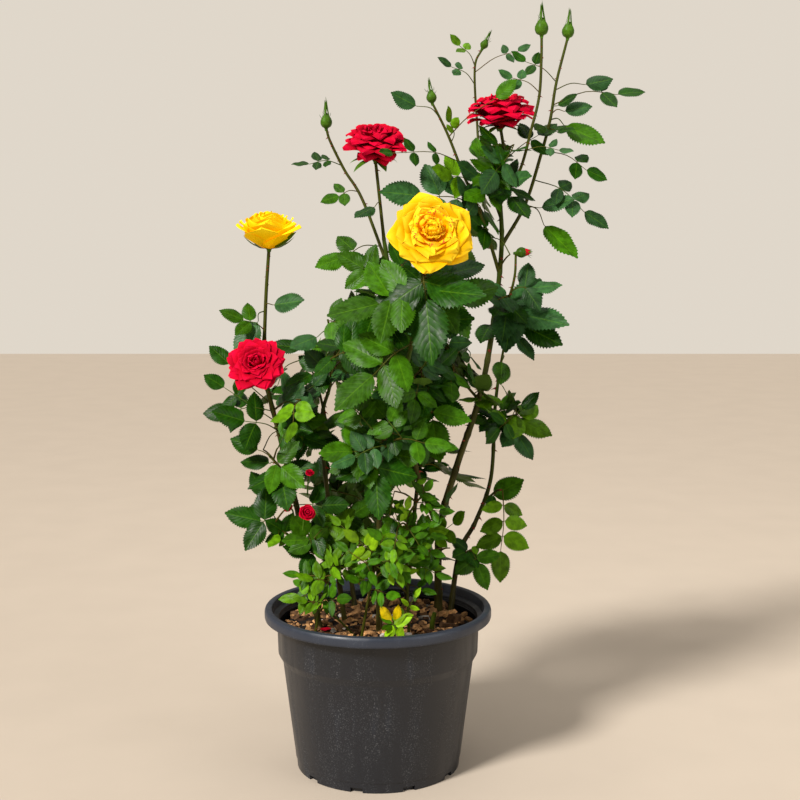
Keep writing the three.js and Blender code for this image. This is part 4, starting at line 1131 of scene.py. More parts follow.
def add_calyx(flower, place, axis, radius, stem, seed, long_share, bend, open_under):
    """The green hip under a rose and its long sepals, with a leafy one where they spread open."""
    axis = unit(axis)
    profile = [(0, -4), (stem * 1.05, -4), (stem * 1.2, -2), (stem + 2.4, 1.5), (stem + 2.8, 4),
               (stem + 1.8, 6), (0, 6.5)]
    add_lathe(flower, profile, 12, place, axis, (0.4, 0.3, 0, 0), 1)
    across = crossways(axis)
    over = np.cross(axis, across)
    for k in range(SEPALS):
        turn = k * 2 * math.pi / SEPALS + spread(-0.2, 0.2, seed, 90, k)
        out = spoke(across, over, turn)
        root = np.asarray(place) + axis * (0.5 if open_under else 3.5) + out * (stem + 1.5)
        long = radius * long_share * spread(0.85, 1.15, seed, 91, k)
        aim = unit(out + axis * (0.05 if open_under else 0.25))
        broad = SEPAL_HALF["open"] if open_under else spread(*SEPAL_HALF["closed"], seed, 94, k)
        add_blade(flower, root, aim, -axis, long, radius * broad,
                  bend * spread(0.7, 1.3, seed, 92, k), chance(seed, 93, k), 1)
    if open_under:
        leafy = LEAFY_SEPAL
        add_blade(flower, np.asarray(place) + leafy["root"], unit(leafy["aim"]),
                  unit(leafy["up"]), radius * leafy["length"], radius * leafy["half"],
                  leafy["bend"], leafy["tone"], 1, leafy["rows"], leafy["folded"])


# Materials

def socket_value(node, name, value):
    node.inputs[name].default_value = value


def new_node(tree, kind, **settings):
    node = tree.nodes.new(kind)
    for name, value in settings.items():
        setattr(node, name, value)
    return node


def group_of(name, inputs, outputs):
    """A new shader node group with named sockets, and its end nodes."""
    tree = bpy.data.node_groups.new(name, "ShaderNodeTree")
    for direction, sockets in (("INPUT", inputs), ("OUTPUT", outputs)):
        for label, kind, default in sockets:
            socket = tree.interface.new_socket(name=label, in_out=direction,
                                               socket_type="NodeSocket" + kind)
            if default is not None:
                socket.default_value = default
    return tree, tree.nodes.new("NodeGroupInput"), tree.nodes.new("NodeGroupOutput")


def feed(tree, socket, value):
    """Sets a socket to a number or a colour, or links it to another socket."""
    if isinstance(value, tuple):
        socket.default_value = (*value[:3], 1)
    elif isinstance(value, (int, float)):
        socket.default_value = value
    else:
        tree.links.new(value, socket)


def math_node(tree, operation, first, second=None, clamp=False):
    node = new_node(tree, "ShaderNodeMath", operation=operation, use_clamp=clamp)
    feed(tree, node.inputs[0], first)
    if second is not None:
        feed(tree, node.inputs[1], second)
    return node.outputs[0]


def times(tree, first, second):
    return math_node(tree, "MULTIPLY", first, second)


def minus(tree, first, second, clamp=False):
    return math_node(tree, "SUBTRACT", first, second, clamp)


def ramp_value(tree, value, low, high, start=0.0, end=1.0):
    """A value socket turned into a smooth rise from start to end between low and high."""
    node = new_node(tree, "ShaderNodeMapRange", interpolation_type="SMOOTHSTEP")
    for name, number in (("Value", value), ("From Min", low), ("From Max", high),
                         ("To Min", start), ("To Max", end)):
        feed(tree, node.inputs[name], number)
    return node.outputs["Result"]


def blend_colour(tree, share, first, second):
    """Two colours blended by a share, at the mix node's inputs 6, 7 and 0."""
    node = new_node(tree, "ShaderNodeMix", data_type="RGBA")
    for index, value in ((0, share), (6, first), (7, second)):
        feed(tree, node.inputs[index], value)
    return node.outputs[2]


def tone_sockets(tree):
    """The four tone values of a point: red, green, blue and alpha."""
    attribute = new_node(tree, "ShaderNodeAttribute", attribute_name=TONE)
    split = new_node(tree, "ShaderNodeSeparateColor")
    tree.links.new(attribute.outputs["Color"], split.inputs[0])
    return (*split.outputs, attribute.outputs["Alpha"])


@functools.lru_cache(maxsize=None)
def mottle_group():
    """Two colours blended by a soft grain, with the grain as a height."""
    tree, enter, leave = group_of(
        "mottle",
        [("Dark", "Color", (0.1, 0.1, 0.1, 1)), ("Light", "Color", (0.5, 0.5, 0.5, 1)),
         ("Scale", "Float", 100.0), ("Contrast", "Float", 0.5), ("Stretch", "Vector", (1, 1, 1))],
        [("Colour", "Color", None), ("Height", "Float", None)])
    place = new_node(tree, "ShaderNodeTexCoord")
    stretch = new_node(tree, "ShaderNodeVectorMath", operation="MULTIPLY")
    tree.links.new(place.outputs["Object"], stretch.inputs[0])
    tree.links.new(enter.outputs["Stretch"], stretch.inputs[1])
    grain = new_node(tree, "ShaderNodeTexNoise")
    socket_value(grain, "Detail", 5.0)
    tree.links.new(stretch.outputs[0], grain.inputs["Vector"])
    tree.links.new(enter.outputs["Scale"], grain.inputs["Scale"])
    half = times(tree, enter.outputs["Contrast"], 0.5)
    low = minus(tree, 0.5, minus(tree, 0.5, half))
    high = minus(tree, 1.0, low)
    share = ramp_value(tree, grain.outputs[0], low, high)
    colour = blend_colour(tree, share, enter.outputs["Dark"], enter.outputs["Light"])
    tree.links.new(colour, leave.inputs["Colour"])
    tree.links.new(grain.outputs[0], leave.inputs["Height"])
    return tree


@functools.lru_cache(maxsize=None)
def veins_group():
    """A middle rib and slanting side veins, read from the tone values of a blade."""
    tree, enter, leave = group_of(
        "veins",
        [("Pairs", "Float", 8.0), ("Slant", "Float", 2.4), ("Rib Width", "Float", 0.07)],
        [("Rib", "Float", None), ("Vein", "Float", None), ("Height", "Float", None)])
    _, along, across, _ = tone_sockets(tree)
    rib_share = math_node(tree, "DIVIDE", across, enter.outputs["Rib Width"])
    rib = minus(tree, 1.0, rib_share, True)
    run = minus(tree, times(tree, along, enter.outputs["Pairs"]),
                times(tree, across, enter.outputs["Slant"]))
    saw = math_node(tree, "FRACT", run)
    fold = math_node(tree, "ABSOLUTE", minus(tree, saw, 0.5))
    near = times(tree, fold, 2.0)
    line = ramp_value(tree, near, 0.82, 1.0)
    fade = minus(tree, 1.0, times(tree, across, 0.6))
    vein = times(tree, line, fade)
    dome = minus(tree, 1.0, times(tree, near, near))
    height = minus(tree, dome, rib)
    tree.links.new(rib, leave.inputs["Rib"])
    tree.links.new(vein, leave.inputs["Vein"])
    tree.links.new(height, leave.inputs["Height"])
    return tree


def place_group(tree, group, **values):
    node = new_node(tree, "ShaderNodeGroup", node_tree=group)
    for name, value in values.items():
        socket = node.inputs[name.replace("_", " ")]
        if isinstance(value, tuple) and len(value) == 3 and socket.type == "RGBA":
            value = (*value, 1)
        socket.default_value = value
    return node


def new_material(name, roughness, specular):
    """A material with its node tree and its shader."""
    material = bpy.data.materials.new(name)
    material.use_nodes = True
    tree = material.node_tree
    tree.nodes.clear()
    finish = tree.nodes.new("ShaderNodeOutputMaterial")
    shader = tree.nodes.new("ShaderNodeBsdfPrincipled")
    tree.links.new(shader.outputs["BSDF"], finish.inputs["Surface"])
    socket_value(shader, "Roughness", roughness)
    socket_value(shader, "Specular IOR Level", specular)
    return material, tree, shader


def bump(tree, shader, height, strength, distance):
    node = new_node(tree, "ShaderNodeBump")
    socket_value(node, "Strength", strength)
    socket_value(node, "Distance", distance)
    tree.links.new(height, node.inputs["Height"])
    tree.links.new(node.outputs["Normal"], shader.inputs["Normal"])


def scaled(colour, share):
    return tuple(part * share for part in colour[:3])


def shaded(tree, colour, share):
    """A colour socket made darker or lighter by a value socket."""
    level = new_node(tree, "ShaderNodeVectorMath", operation="SCALE")
    tree.links.new(colour, level.inputs[0])
    tree.links.new(share, level.inputs["Scale"])
    return level.outputs[0]


def leaf_material(name, colour, rib_colour, under):
    """A leaf's green, mottled and veined, with a paler underside."""
    material, tree, shader = new_material(name, 0.4, 0.12)
    grain = place_group(tree, mottle_group(), Dark=scaled(colour, 0.62), Light=scaled(colour, 1.3),
                        Scale=150.0, Contrast=0.5)
    veins = place_group(tree, veins_group())
    tone, _, _, _ = tone_sockets(tree)
    shade = ramp_value(tree, tone, 0.0, 1.0, 0.68, 1.3)
    level = shaded(tree, grain.outputs["Colour"], shade)
    veined = blend_colour(tree, times(tree, veins.outputs["Vein"], 0.17), level, rib_colour)
    ribbed = blend_colour(tree, times(tree, veins.outputs["Rib"], 0.3), veined, rib_colour)
    face = new_node(tree, "ShaderNodeNewGeometry")
    sided = blend_colour(tree, face.outputs["Backfacing"], ribbed, under)
    tree.links.new(sided, shader.inputs["Base Color"])
    dull = ramp_value(tree, grain.outputs["Height"], 0.3, 0.7, 0.3, 0.48)
    tree.links.new(dull, shader.inputs["Roughness"])
    bump(tree, shader, veins.outputs["Height"], 0.18, 0.0007)
    return material


def stem_material(name, foot, tip, red):
    """Bark at a tone of 0 and green skin at 1, with thorns and joints tinted red."""
    material, tree, shader = new_material(name, 0.5, 0.14)
    tone, along, _, marked = tone_sockets(tree)
    bark = place_group(tree, mottle_group(), Dark=scaled(foot, 0.55), Light=scaled(foot, 1.6),
                       Scale=160.0, Contrast=0.55, Stretch=(1, 1, 0.15))
    skin = place_group(tree, mottle_group(), Dark=scaled(tip, 0.7), Light=scaled(tip, 1.3),
                       Scale=120.0, Contrast=0.5, Stretch=(1, 1, 0.2))
    grown = blend_colour(tree, along, bark.outputs["Colour"], skin.outputs["Colour"])
    tinted = blend_colour(tree, times(tree, marked, tone), grown, red)
    tree.links.new(tinted, shader.inputs["Base Color"])
    bump(tree, shader, bark.outputs["Height"], 0.5, 0.0006)
    return material


def petal_material(name, heart, body, rim, fleck, painted_glow):
    """Petals that run from a deep foot to a bright rim, flecked near the heart. On the red roses the dark
    foot is painted shade deep in the flower and the bright rim a painted highlight on the petal edges.

    The painted glow gives out the petal colour as emission, standing for the light that shines through
    thin petals.
    """
    material, tree, shader = new_material(name, 0.8, 0.05)
    tone, along, _, ring = tone_sockets(tree)
    grain = place_group(tree, mottle_group(), Dark=(0.0, 0.0, 0.0), Light=(1.0, 1.0, 1.0),
                        Scale=420.0, Contrast=0.35)
    veins = place_group(tree, veins_group(), Pairs=2.0, Slant=9.0, Rib_Width=0.05)
    rise = blend_colour(tree, ramp_value(tree, along, 0.05, 0.6), heart, body)
    edge_share = times(tree, ramp_value(tree, along, 0.7, 1.0), 0.8)
    rimmed = blend_colour(tree, edge_share, rise, rim)
    shade = ramp_value(tree, tone, 0.0, 1.0, 0.8, 1.12)
    level = shaded(tree, rimmed, shade)
    zone = times(tree, ramp_value(tree, ring, 0.15, 0.3), ramp_value(tree, ring, 0.55, 0.38))
    spots = times(tree, ramp_value(tree, grain.outputs["Height"], 0.55, 0.62), zone)
    spots = times(tree, spots, ramp_value(tree, along, 0.6, 0.8))
    flecked = blend_colour(tree, times(tree, spots, 0.8), level, fleck)
    tree.links.new(flecked, shader.inputs["Base Color"])
    # Painted glow: the petals give out their own colour as light.
    tree.links.new(flecked, shader.inputs["Emission Color"])
    socket_value(shader, "Emission Strength", painted_glow)
    bump(tree, shader, veins.outputs["Height"], 0.2, 0.0006)
    return material


def chip_material(name, dark, light, scale, strength):
    """Chips, stones and peat: a colour between two by the piece's own tone, with a grain."""
    material, tree, shader = new_material(name, 0.85, 0.3)
    tone, _, _, _ = tone_sockets(tree)
    deep = place_group(tree, mottle_group(), Dark=scaled(dark, 0.5), Light=scaled(dark, 1.5),
                       Scale=scale, Contrast=0.6, Stretch=(1, 0.4, 1))
    pale = place_group(tree, mottle_group(), Dark=scaled(light, 0.6), Light=scaled(light, 1.3),
                       Scale=scale, Contrast=0.6, Stretch=(1, 0.4, 1))
    colour = blend_colour(tree, tone, deep.outputs["Colour"], pale.outputs["Colour"])
    tree.links.new(colour, shader.inputs["Base Color"])
    bump(tree, shader, deep.outputs["Height"], strength, 0.002)
    return material


def pot_material(colour):
    """Satin moulded plastic: fine grain, upright drag marks, dust specks, a painted shadow under the lip
    and a painted highlight on the lip.
    """
    material, tree, shader = new_material("pot_plastic", 0.42, 0.5)
    grain = place_group(tree, mottle_group(), Dark=scaled(colour, 0.8), Light=scaled(colour, 1.25),
                        Scale=700.0, Contrast=0.5)
    marks = place_group(tree, mottle_group(), Dark=(0.0, 0.0, 0.0), Light=(1.0, 1.0, 1.0),
                        Scale=60.0, Contrast=0.4, Stretch=(1, 1, 0.12))
    scuffs = ramp_value(tree, marks.outputs["Height"], 0.56, 0.72, 0.0, 0.3)
    worn = blend_colour(tree, scuffs, grain.outputs["Colour"], scaled(colour, 3.2))
    specks = ramp_value(tree, grain.outputs["Height"], 0.56, 0.66, 0.0, 0.45)
    patchy = times(tree, specks, ramp_value(tree, marks.outputs["Height"], 0.4, 0.66))
    dusty = blend_colour(tree, patchy, worn, linear(112, 114, 116))
    place = new_node(tree, "ShaderNodeTexCoord")
    split = new_node(tree, "ShaderNodeSeparateXYZ")
    tree.links.new(place.outputs["Object"], split.inputs[0])
    height = split.outputs["Z"]
    # Painted shadow: the wall is darkened towards the underside of the lip, where the lip's shade falls.
    under = times(tree, ramp_value(tree, height, 0.15, 0.184, 0.0, 0.55),
                  ramp_value(tree, height, 0.187, 0.189, 1.0, 0.0))
    painted_lip_shadow = blend_colour(tree, under, dusty, scaled(colour, 0.35))
    # Painted highlight: here and in faded, the lip is blended towards a much paler grey that stands for
    # light on its curved outer face.
    lip = ramp_value(tree, height, 0.187, 0.192, 0.0, 0.7)
    faded = blend_colour(tree, lip, painted_lip_shadow, scaled(colour, 4.4))
    tree.links.new(faded, shader.inputs["Base Color"])
    dull = ramp_value(tree, marks.outputs["Height"], 0.3, 0.7, 0.34, 0.52)
    tree.links.new(dull, shader.inputs["Roughness"])
    bump(tree, shader, grain.outputs["Height"], 0.12, 0.0004)
    return material


# Settings

def colour_property(name, description, default):
    return FloatVectorProperty(name=name, description=description, subtype="COLOR", size=3,
                               min=0, max=1, default=default)


class PotSettings(bpy.types.PropertyGroup):
    colour: colour_property("Plastic", "Colour of the moulded pot", linear(19, 23, 31))
    segments: IntProperty(name="Segments", description="Faces round the pot", default=180,
                          min=24, max=360)
    chips: IntProperty(name="Bark chips", description="Chips strewn on the mix", default=950,
                       min=0, max=4000)
    peat: colour_property("Peat", "Colour of the fine mix", linear(22, 14, 10))
    bark: colour_property("Bark", "Colour of the palest bark chips", linear(230, 172, 112))


class CaneSettings(bpy.types.PropertyGroup):
    bark: colour_property("Bark", "Colour of old canes", linear(62, 58, 22))
    green: colour_property("Green wood", "Colour of young stems", linear(58, 84, 12))
    thorn: colour_property("Thorns", "Colour of thorns and joints", linear(128, 44, 30))
    thorn_gap: FloatProperty(name="Thorn spacing", description="Distance between thorns on a cane",
                             default=0.017, min=0.005, max=0.1, unit="LENGTH")


class LeafSettings(bpy.types.PropertyGroup):
    deep: colour_property("Deep green", "Colour of old leaves", linear(26, 66, 2))
    middle: colour_property("Middle green", "Colour of grown leaves", linear(52, 96, 4))
    fresh: colour_property("Fresh green", "Colour of new leaves", linear(86, 130, 8))
    lime: colour_property("Lime", "Colour of the youngest leaves", linear(124, 168, 14))
    faded: colour_property("Faded", "Colour of a leaf about to drop", linear(248, 214, 10))
    # Partly a painted sheen: this grey-green stands for glancing light on upper leaves as well as for leaf
    # colour.
    dusky_sheen: colour_property("Dusky", "Colour of leaves with a bluish bloom", linear(44, 82, 40))
    under: colour_property("Underside", "Colour of the leaves' undersides", linear(78, 110, 40))


class RoseSettings(bpy.types.PropertyGroup):
    red: colour_property("Crimson", "Colour of the red roses", linear(186, 2, 34))
    yellow: colour_property("Yellow", "Colour of the yellow roses", linear(242, 178, 0))
    sepal: colour_property("Sepal", "Colour of hips, sepals and buds", linear(62, 98, 18))


class StageSettings(bpy.types.PropertyGroup):
    floor: colour_property("Floor", "Colour of the floor", linear(204, 190, 174))
    key: FloatProperty(name="Key light", description="Strength of the main soft light",
                       default=4.1, min=0, max=100)
    fill: FloatProperty(name="Fill light", description="Power of the second soft light",
                        default=14, min=0, max=1000, unit="POWER")
    lens: FloatProperty(name="Lens", description="Focal length of the camera",
                        default=FOCAL * FILM / PICTURE, min=20, max=200, unit="CAMERA")


# Pieces

def pot_profile():
    """The pot's section from the middle of its underside round to the middle of its floor."""
    base, side, collar = POT["base"], POT["wall_radius"], POT["collar"]
    rim, mouth, wall = POT["rim"], POT["mouth"], POT["wall"]
    seam, foot, top, floor = POT["seam"], POT["collar_foot"], POT["height"], POT["floor"]
    ledge = foot - POT["step"]
    lip = top - POT["lip"]
    inside = collar - wall
    ribs = []
    for k in range(3):
        level = lip - 1 - k * 2.6
        ribs += [(inside, level), (inside + 0.7, level - 1.3)]
    return [
        (0, 0), (base - 3, 0), (base - 2, 0.6), (base - 1.9, 2), (base - 0.9, seam - 0.8),
        (base - 0.2, seam - 0.3), (base, seam + 0.6), (base + 0.2, seam + 2.4),
        (mix(base, side, 0.5), mix(seam, ledge, 0.5)), (side - 0.1, ledge - 1.2),
        (side + 0.5, ledge + 0.6), (collar - 2.2, foot - 1.6), (collar - 1.5, foot),
        (collar - 0.2, lip - 1.4), (collar + 1.2, lip), (rim - 2, lip), (rim - 0.5, lip + 0.9),
        (rim, lip + 3), (rim, top - 4), (rim - 0.5, top - 2), (rim - 1.5, top - 0.5),
        (rim - 3.5, top), (mouth + 1.6, top), (mouth + 0.3, top - 0.7), (mouth - 0.2, top - 2),
        (mouth - 2, lip + 3), (inside + 0.6, lip + 1), *ribs, (collar - 1.5 - wall, foot),
        (side - wall, ledge), (base - wall - 1, floor), (0, floor),
    ]


def cut_notches(piece):
    """Cuts the feet's gaps out of the pot's lower edge."""
    cutter = bmesh.new()
    for k in range(NOTCH["count"]):
        turn = NOTCH["turn"] + k * 2 * math.pi / NOTCH["count"]
        made = bmesh.ops.create_cube(cutter, size=1)["verts"]
        for vert in made:
            x = vert.co.x * 2 * NOTCH["depth"] + POT["base"]
            y = vert.co.y * NOTCH["width"]
            z = vert.co.z * 2 * NOTCH["height"]
            vert.co = Vector((x * math.cos(turn) - y * math.sin(turn),
                              x * math.sin(turn) + y * math.cos(turn), z)) * MM
    mesh = bpy.data.meshes.new("notches")
    cutter.to_mesh(mesh)
    cutter.free()
    tool = bpy.data.objects.new("notches", mesh)
    bpy.context.scene.collection.objects.link(tool)
    modifier = piece.modifiers.new("notches", "BOOLEAN")
    modifier.object = tool
    modifier.operation = "DIFFERENCE"
    modifier.solver = "EXACT"
    graph = bpy.context.evaluated_depsgraph_get()
    cut = bpy.data.meshes.new_from_object(piece.evaluated_get(graph))
    piece.modifiers.clear()
    piece.data = cut
    bpy.data.objects.remove(tool)
    for polygon in cut.polygons:
        polygon.use_smooth = True


def sharpen(piece, degrees):
    """Keeps edges sharper than an angle crisp under smooth shading."""
    grown = bmesh.new()
    grown.from_mesh(piece.data)
    limit = math.radians(degrees)
    for edge in grown.edges:
        if len(edge.link_faces) == 2 and edge.calc_face_angle(0) > limit:
            edge.smooth = False
    grown.to_mesh(piece.data)
    grown.free()


class ROSE_OT_pot(bpy.types.Operator):
    """Makes the moulded nursery pot"""
    bl_idname = "rose_bush.pot"
    bl_label = "Pot"

    def execute(self, context):
        settings = context.scene.rose_pot
        shape = Shape()
        add_lathe(shape, pot_profile(), settings.segments)
        pot = shape.piece("pot_shell", [pot_material(tuple(settings.colour))])
        solid = bmesh.new()
        solid.from_mesh(pot.data)
        bmesh.ops.remove_doubles(solid, verts=solid.verts, dist=1e-6)
        bmesh.ops.recalc_face_normals(solid, faces=solid.faces)
        solid.to_mesh(pot.data)
        solid.free()
        cut_notches(pot)
        sharpen(pot, 32)
        settle(pot, ["pot"])
        return {"FINISHED"}


def bed_height(x, y):
    """The bark mix's level at a place, lumpy and falling a little towards the wall."""
    radius = np.hypot(x, y)
    fall = smooth(MIX["flat"], MIX["radius"], radius) * MIX["drop"]
    lumps = (np.sin(x * 0.11 + 1.3) * np.cos(y * 0.13 - 0.4) * 1.6
             + np.sin(x * 0.31 - y * 0.23) * 0.9 + np.cos(y * 0.47 + x * 0.11) * 0.6)
    return MIX["level"] - 2 - fall + lumps


def add_chip(shape, centre, size, flatness, turn, lean, tone, keys, finish):
    """A split chip: two ragged six-sided faces, one over the other."""
    corners = np.arange(6) * math.pi / 3
    jag = np.array([spread(0.65, 1.25, *keys, 30 + k) for k in range(6)])
    long = spread(1.1, 2.3, *keys, 40)
    ring = np.stack([np.cos(corners) * jag * long, np.sin(corners) * jag, np.zeros(6)], 1) * size
    thick = size * flatness
    top = ring * 0.82 + np.array([0, 0, thick])
    top[:, 2] += np.array([spread(-0.3, 0.3, *keys, 50 + k) for k in range(6)]) * thick
    points = np.vstack([ring - np.array([0, 0, thick]), top])
    middle = np.array([[0, 0, -1.1 * thick], [0, 0, 1.15 * thick]])
    points = np.vstack([points, middle])
    c, s = math.cos(lean), math.sin(lean)
    points = np.stack([points[:, 0] * c + points[:, 2] * s, points[:, 1],
                       -points[:, 0] * s + points[:, 2] * c], 1)
    c, s = math.cos(turn), math.sin(turn)
    points = np.stack([points[:, 0] * c - points[:, 1] * s, points[:, 0] * s + points[:, 1] * c,
                       points[:, 2]], 1) + centre
    index = np.arange(6)
    after = (index + 1) % 6
    shape.add(points, np.concatenate([
        np.stack([index, after, after + 6], 1), np.stack([index, after + 6, index + 6], 1),
        np.stack([after, index, np.full(6, 12)], 1),
        np.stack([index + 6, after + 6, np.full(6, 13)], 1)]), (tone, 0.5, 0, 0), finish)


# Chips: their size, the pick from which they are pale or stones, how flat they are, their lean.
CHIP = {
    "least": 1.7, "more": 4.6, "pale_from": 0.5, "stone_from": 0.955, "bark_flat": (0.2, 0.42),
    "stone_flat": 0.55, "lean": 0.7,
}

# A large dark lump lies on the bed at the right, and a fallen petal at the left.
LUMP_PLACE = (94, 2)
PETAL_PLACE = (-70, -44)


class ROSE_OT_mix(bpy.types.Operator):
    """Fills the pot with peat, bark chips and a few stones"""
    bl_idname = "rose_bush.mix"
    bl_label = "Bark mix"

    def execute(self, context):
        settings = context.scene.rose_pot
        peat = chip_material("peat", tuple(settings.peat), scaled(settings.peat, 1.7), 180.0, 0.9)
        bark = chip_material("bark_chip", linear(50, 28, 16), tuple(settings.bark), 220.0, 0.6)
        stone = chip_material("stone_chip", linear(120, 112, 104), linear(206, 198, 188), 160.0,
                              0.3)
        bed = Shape()
        rings, segments = 44, 120
        radii = np.linspace(0.5, MIX["radius"], rings)
        turn = np.arange(segments) * 2 * math.pi / segments
        x, y = radii[:, None] * np.cos(turn), radii[:, None] * np.sin(turn)
        points = np.stack([x, y, bed_height(x, y)], -1)
        bed.add(points, grid_faces(rings, segments, True)[:, ::-1], (0.3, 0.5, 0, 0))
        skirt = np.stack([points[-1], points[-1] * np.array([0.93, 0.93, 0])
                          + np.array([0, 0, POT["collar_foot"] - 30])], 0)
        bed.add(skirt, grid_faces(2, segments, True)[:, ::-1], (0.3, 0.5, 0, 0))
        settle(bed.piece("mix_bed", [peat]), ["potting_mix"])
        chips = Shape()
        for k in range(settings.chips):
            radius = (MIX["radius"] - 5) * math.sqrt(chance(k, 1))
            angle = 2 * math.pi * chance(k, 2)
            x, y = radius * math.cos(angle), radius * math.sin(angle)
            size = CHIP["least"] + CHIP["more"] * chance(k, 3) ** 2.0
            kind = chance(k, 4)
            finish = 1 if kind > CHIP["stone_from"] else 0
            tone = chance(k, 5)
            tone = tone * 0.22 if kind < CHIP["pale_from"] else 0.35 + 0.65 * tone
            level = bed_height(x, y) + size * spread(0.05, 0.5, k, 6)
            centre = np.array([x, y, level])
            flatness = CHIP["stone_flat"] if finish else spread(*CHIP["bark_flat"], k, 7)
            add_chip(chips, centre, size, flatness, 2 * math.pi * chance(k, 8),
                     spread(-CHIP["lean"], CHIP["lean"], k, 9), tone, (k, 10), finish)
        x, y = LUMP_PLACE
        add_chip(chips, np.array([x, y, bed_height(x, y) + 6]), 9, 0.6, 0.6, 0.2, 0.12, (7, 11), 0)
        settle(chips.piece("bark_chips", [bark, stone], flat=True))
        return {"FINISHED"}


# A thorn's radii from foot to point and its hook, by its length.
THORN_RADII = np.array([0.34, 0.2, 0.12, 0.06, 0.015])
THORN_HOOK = 0.45


def add_thorn(shape, root, out, along, long):
    """A hooked thorn with a broad foot."""
    shares = np.linspace(0, 1, len(THORN_RADII))
    line = np.array([root + out * long * share - along * long * THORN_HOOK * share ** 2
                     for share in shares])
    add_tube(shape, line, THORN_RADII * long, 6,
             [(1, 0.3, 0, 1 - 0.3 * share) for share in shares], 0)


def cane_relief(line, sides, seed):
    """Ridges along a cane and swollen joints, as a scale of its radius."""
    rows = np.arange(len(line))[:, None]
    turn = np.arange(sides)[None, :] * 2 * math.pi / sides
    drift = rows * 0.035 + seed
    ridges = 0.05 * np.cos(3 * turn + drift) + 0.03 * np.cos(5 * turn - 1.7 * drift)
    joints = 0.16 * np.exp(-(((rows + 5 * seed) % 23 - 11) / 1.6) ** 2)
    return 1 + ridges + joints


# Canes: length of a row of faces, faces round, how much the foot swells at the mix or at a
# fork and how fast that fades, how green the top is, and the thorns' lengths.
CANE = {
    "step": 2.2, "sides": 14, "foot": (0.25, 30), "fork": (0.2, 40), "green": 0.8,
    "thorn": (3.0, 6.5),
}

# Shoots: size by the solids', swelling of the foot, faces round, green of the foot, thorns.
SHOOT = {"size": 0.9, "foot": (0.5, 25), "sides": 9, "green": 0.8, "thorn": (1.6, 3.4)}


class ROSE_OT_canes(bpy.types.Operator):
    """Makes the woody canes with their bark and thorns"""
    bl_idname = "rose_bush.canes"
    bl_label = "Canes"

    def execute(self, context):
        settings = context.scene.rose_cane
        stems = growth()["stems"]
        shape = Shape()
        for seed, (name, _, _, _, radii) in enumerate(CANES):
            stem = stems[name]
            rough = spline(stem["points"], np.linspace(0, 1, 60))
            length = np.linalg.norm(np.diff(rough, axis=0), axis=1).sum()
            rows = int(length / CANE["step"])
            shares = np.linspace(0, 1, rows)
            line = spline(stem["points"], shares)
            size = mix(radii[0], radii[1], shares)
            swell, fade = CANE["foot" if stem["rooted"] else "fork"]
            size = size + swell * radii[0] * np.exp(-shares * fade)
            green = smooth(0.25, 1.1, shares) * CANE["green"]
            tones = [(chance(seed, 3), share, 0, 0) for share in green]
            add_tube(shape, line, size, CANE["sides"], tones, 0,
                     cane_relief(line, CANE["sides"], seed))
            tangents, across, over = tube_frames(line)
            thorns = int(length * MM / settings.thorn_gap)
            for k in range(2, thorns):
                row = int((k + spread(-0.4, 0.4, seed, k, 5)) / thorns * rows)
                row = min(max(row, 6), rows - 4)
                turn = 2 * math.pi * chance(seed, k, 6)
                out = spoke(across[row], over[row], turn)
                add_thorn(shape, line[row] + out * size[row] * 0.9, out, tangents[row],
                          spread(*CANE["thorn"], seed, k, 7))
        material = stem_material("cane_bark", tuple(settings.bark), tuple(settings.green),
                                 tuple(settings.thorn))
        settle(shape.piece("canes", [material]), [name for name, *_ in CANES])
        return {"FINISHED"}


class ROSE_OT_twigs(bpy.types.Operator):
    """Makes the shoots' stems, their side twigs and the leaves' stalks"""
    bl_idname = "rose_bush.twigs"
    bl_label = "Twigs"

    def execute(self, context):
        settings = context.scene.rose_cane
        plant = growth()
        shape = Shape()
        for number, row in enumerate(SHOOTS):
            stem = plant["stems"][row["name"]]
            rows = 12 * (len(stem["points"]) - 1) + 1
            shares = np.linspace(0, 1, rows)
            line = spline(stem["points"], shares)
            size = mix(row["radii"][0], row["radii"][1], shares) * SHOOT["size"]
            swell, fade = SHOOT["foot"]
            size = size + swell * np.exp(-shares * fade)
            low = SHOOT["green"]
            tones = [(0.4, low + (1 - low) * share, 0, 0.25) for share in shares]
            add_tube(shape, line, size, SHOOT["sides"], tones)
            tangents, across, over = tube_frames(line)
            flowering = row["end"] is not None
            for k in range(rows // 3 if flowering else rows // 6):
                at = 3 + int(chance(number, k, 8) * (rows - 5))
                turn = 2 * math.pi * chance(number, k, 9)
                out = spoke(across[at], over[at], turn)
                add_thorn(shape, line[at] + out * size[at] * 0.85, out, tangents[at],
                          spread(*SHOOT["thorn"], number, k, 10))
        for line, foot, tip in LOW_STEMS:
            shares = np.linspace(0, 1, 15)
            tones = [(0.3, mix(0.9, 1, share), 0, 0.2) for share in shares]
            add_tube(shape, spline(line, shares), mix(foot, tip, shares), 8, tones)
        for line in plant["twigs"]:
            add_tube(shape, spline(line, np.linspace(0, 1, 9)), np.linspace(1.3, 0.8, 9), 6,
                     (0.5, 0.7, 0, 0.3))
        for _, leaf in plant["leaves"]:
            add_stalk(shape, leaf)
        bark = stem_material("shoot_skin", scaled(settings.bark, 0.7), scaled(settings.green, 0.75),
                             tuple(settings.thorn))
        stalk = stem_material("stalk_skin", scaled(settings.green, 0.7),
                              tuple(settings.green), tuple(settings.thorn))
        settle(shape.piece("twigs", [bark, stalk]))
        return {"FINISHED"}


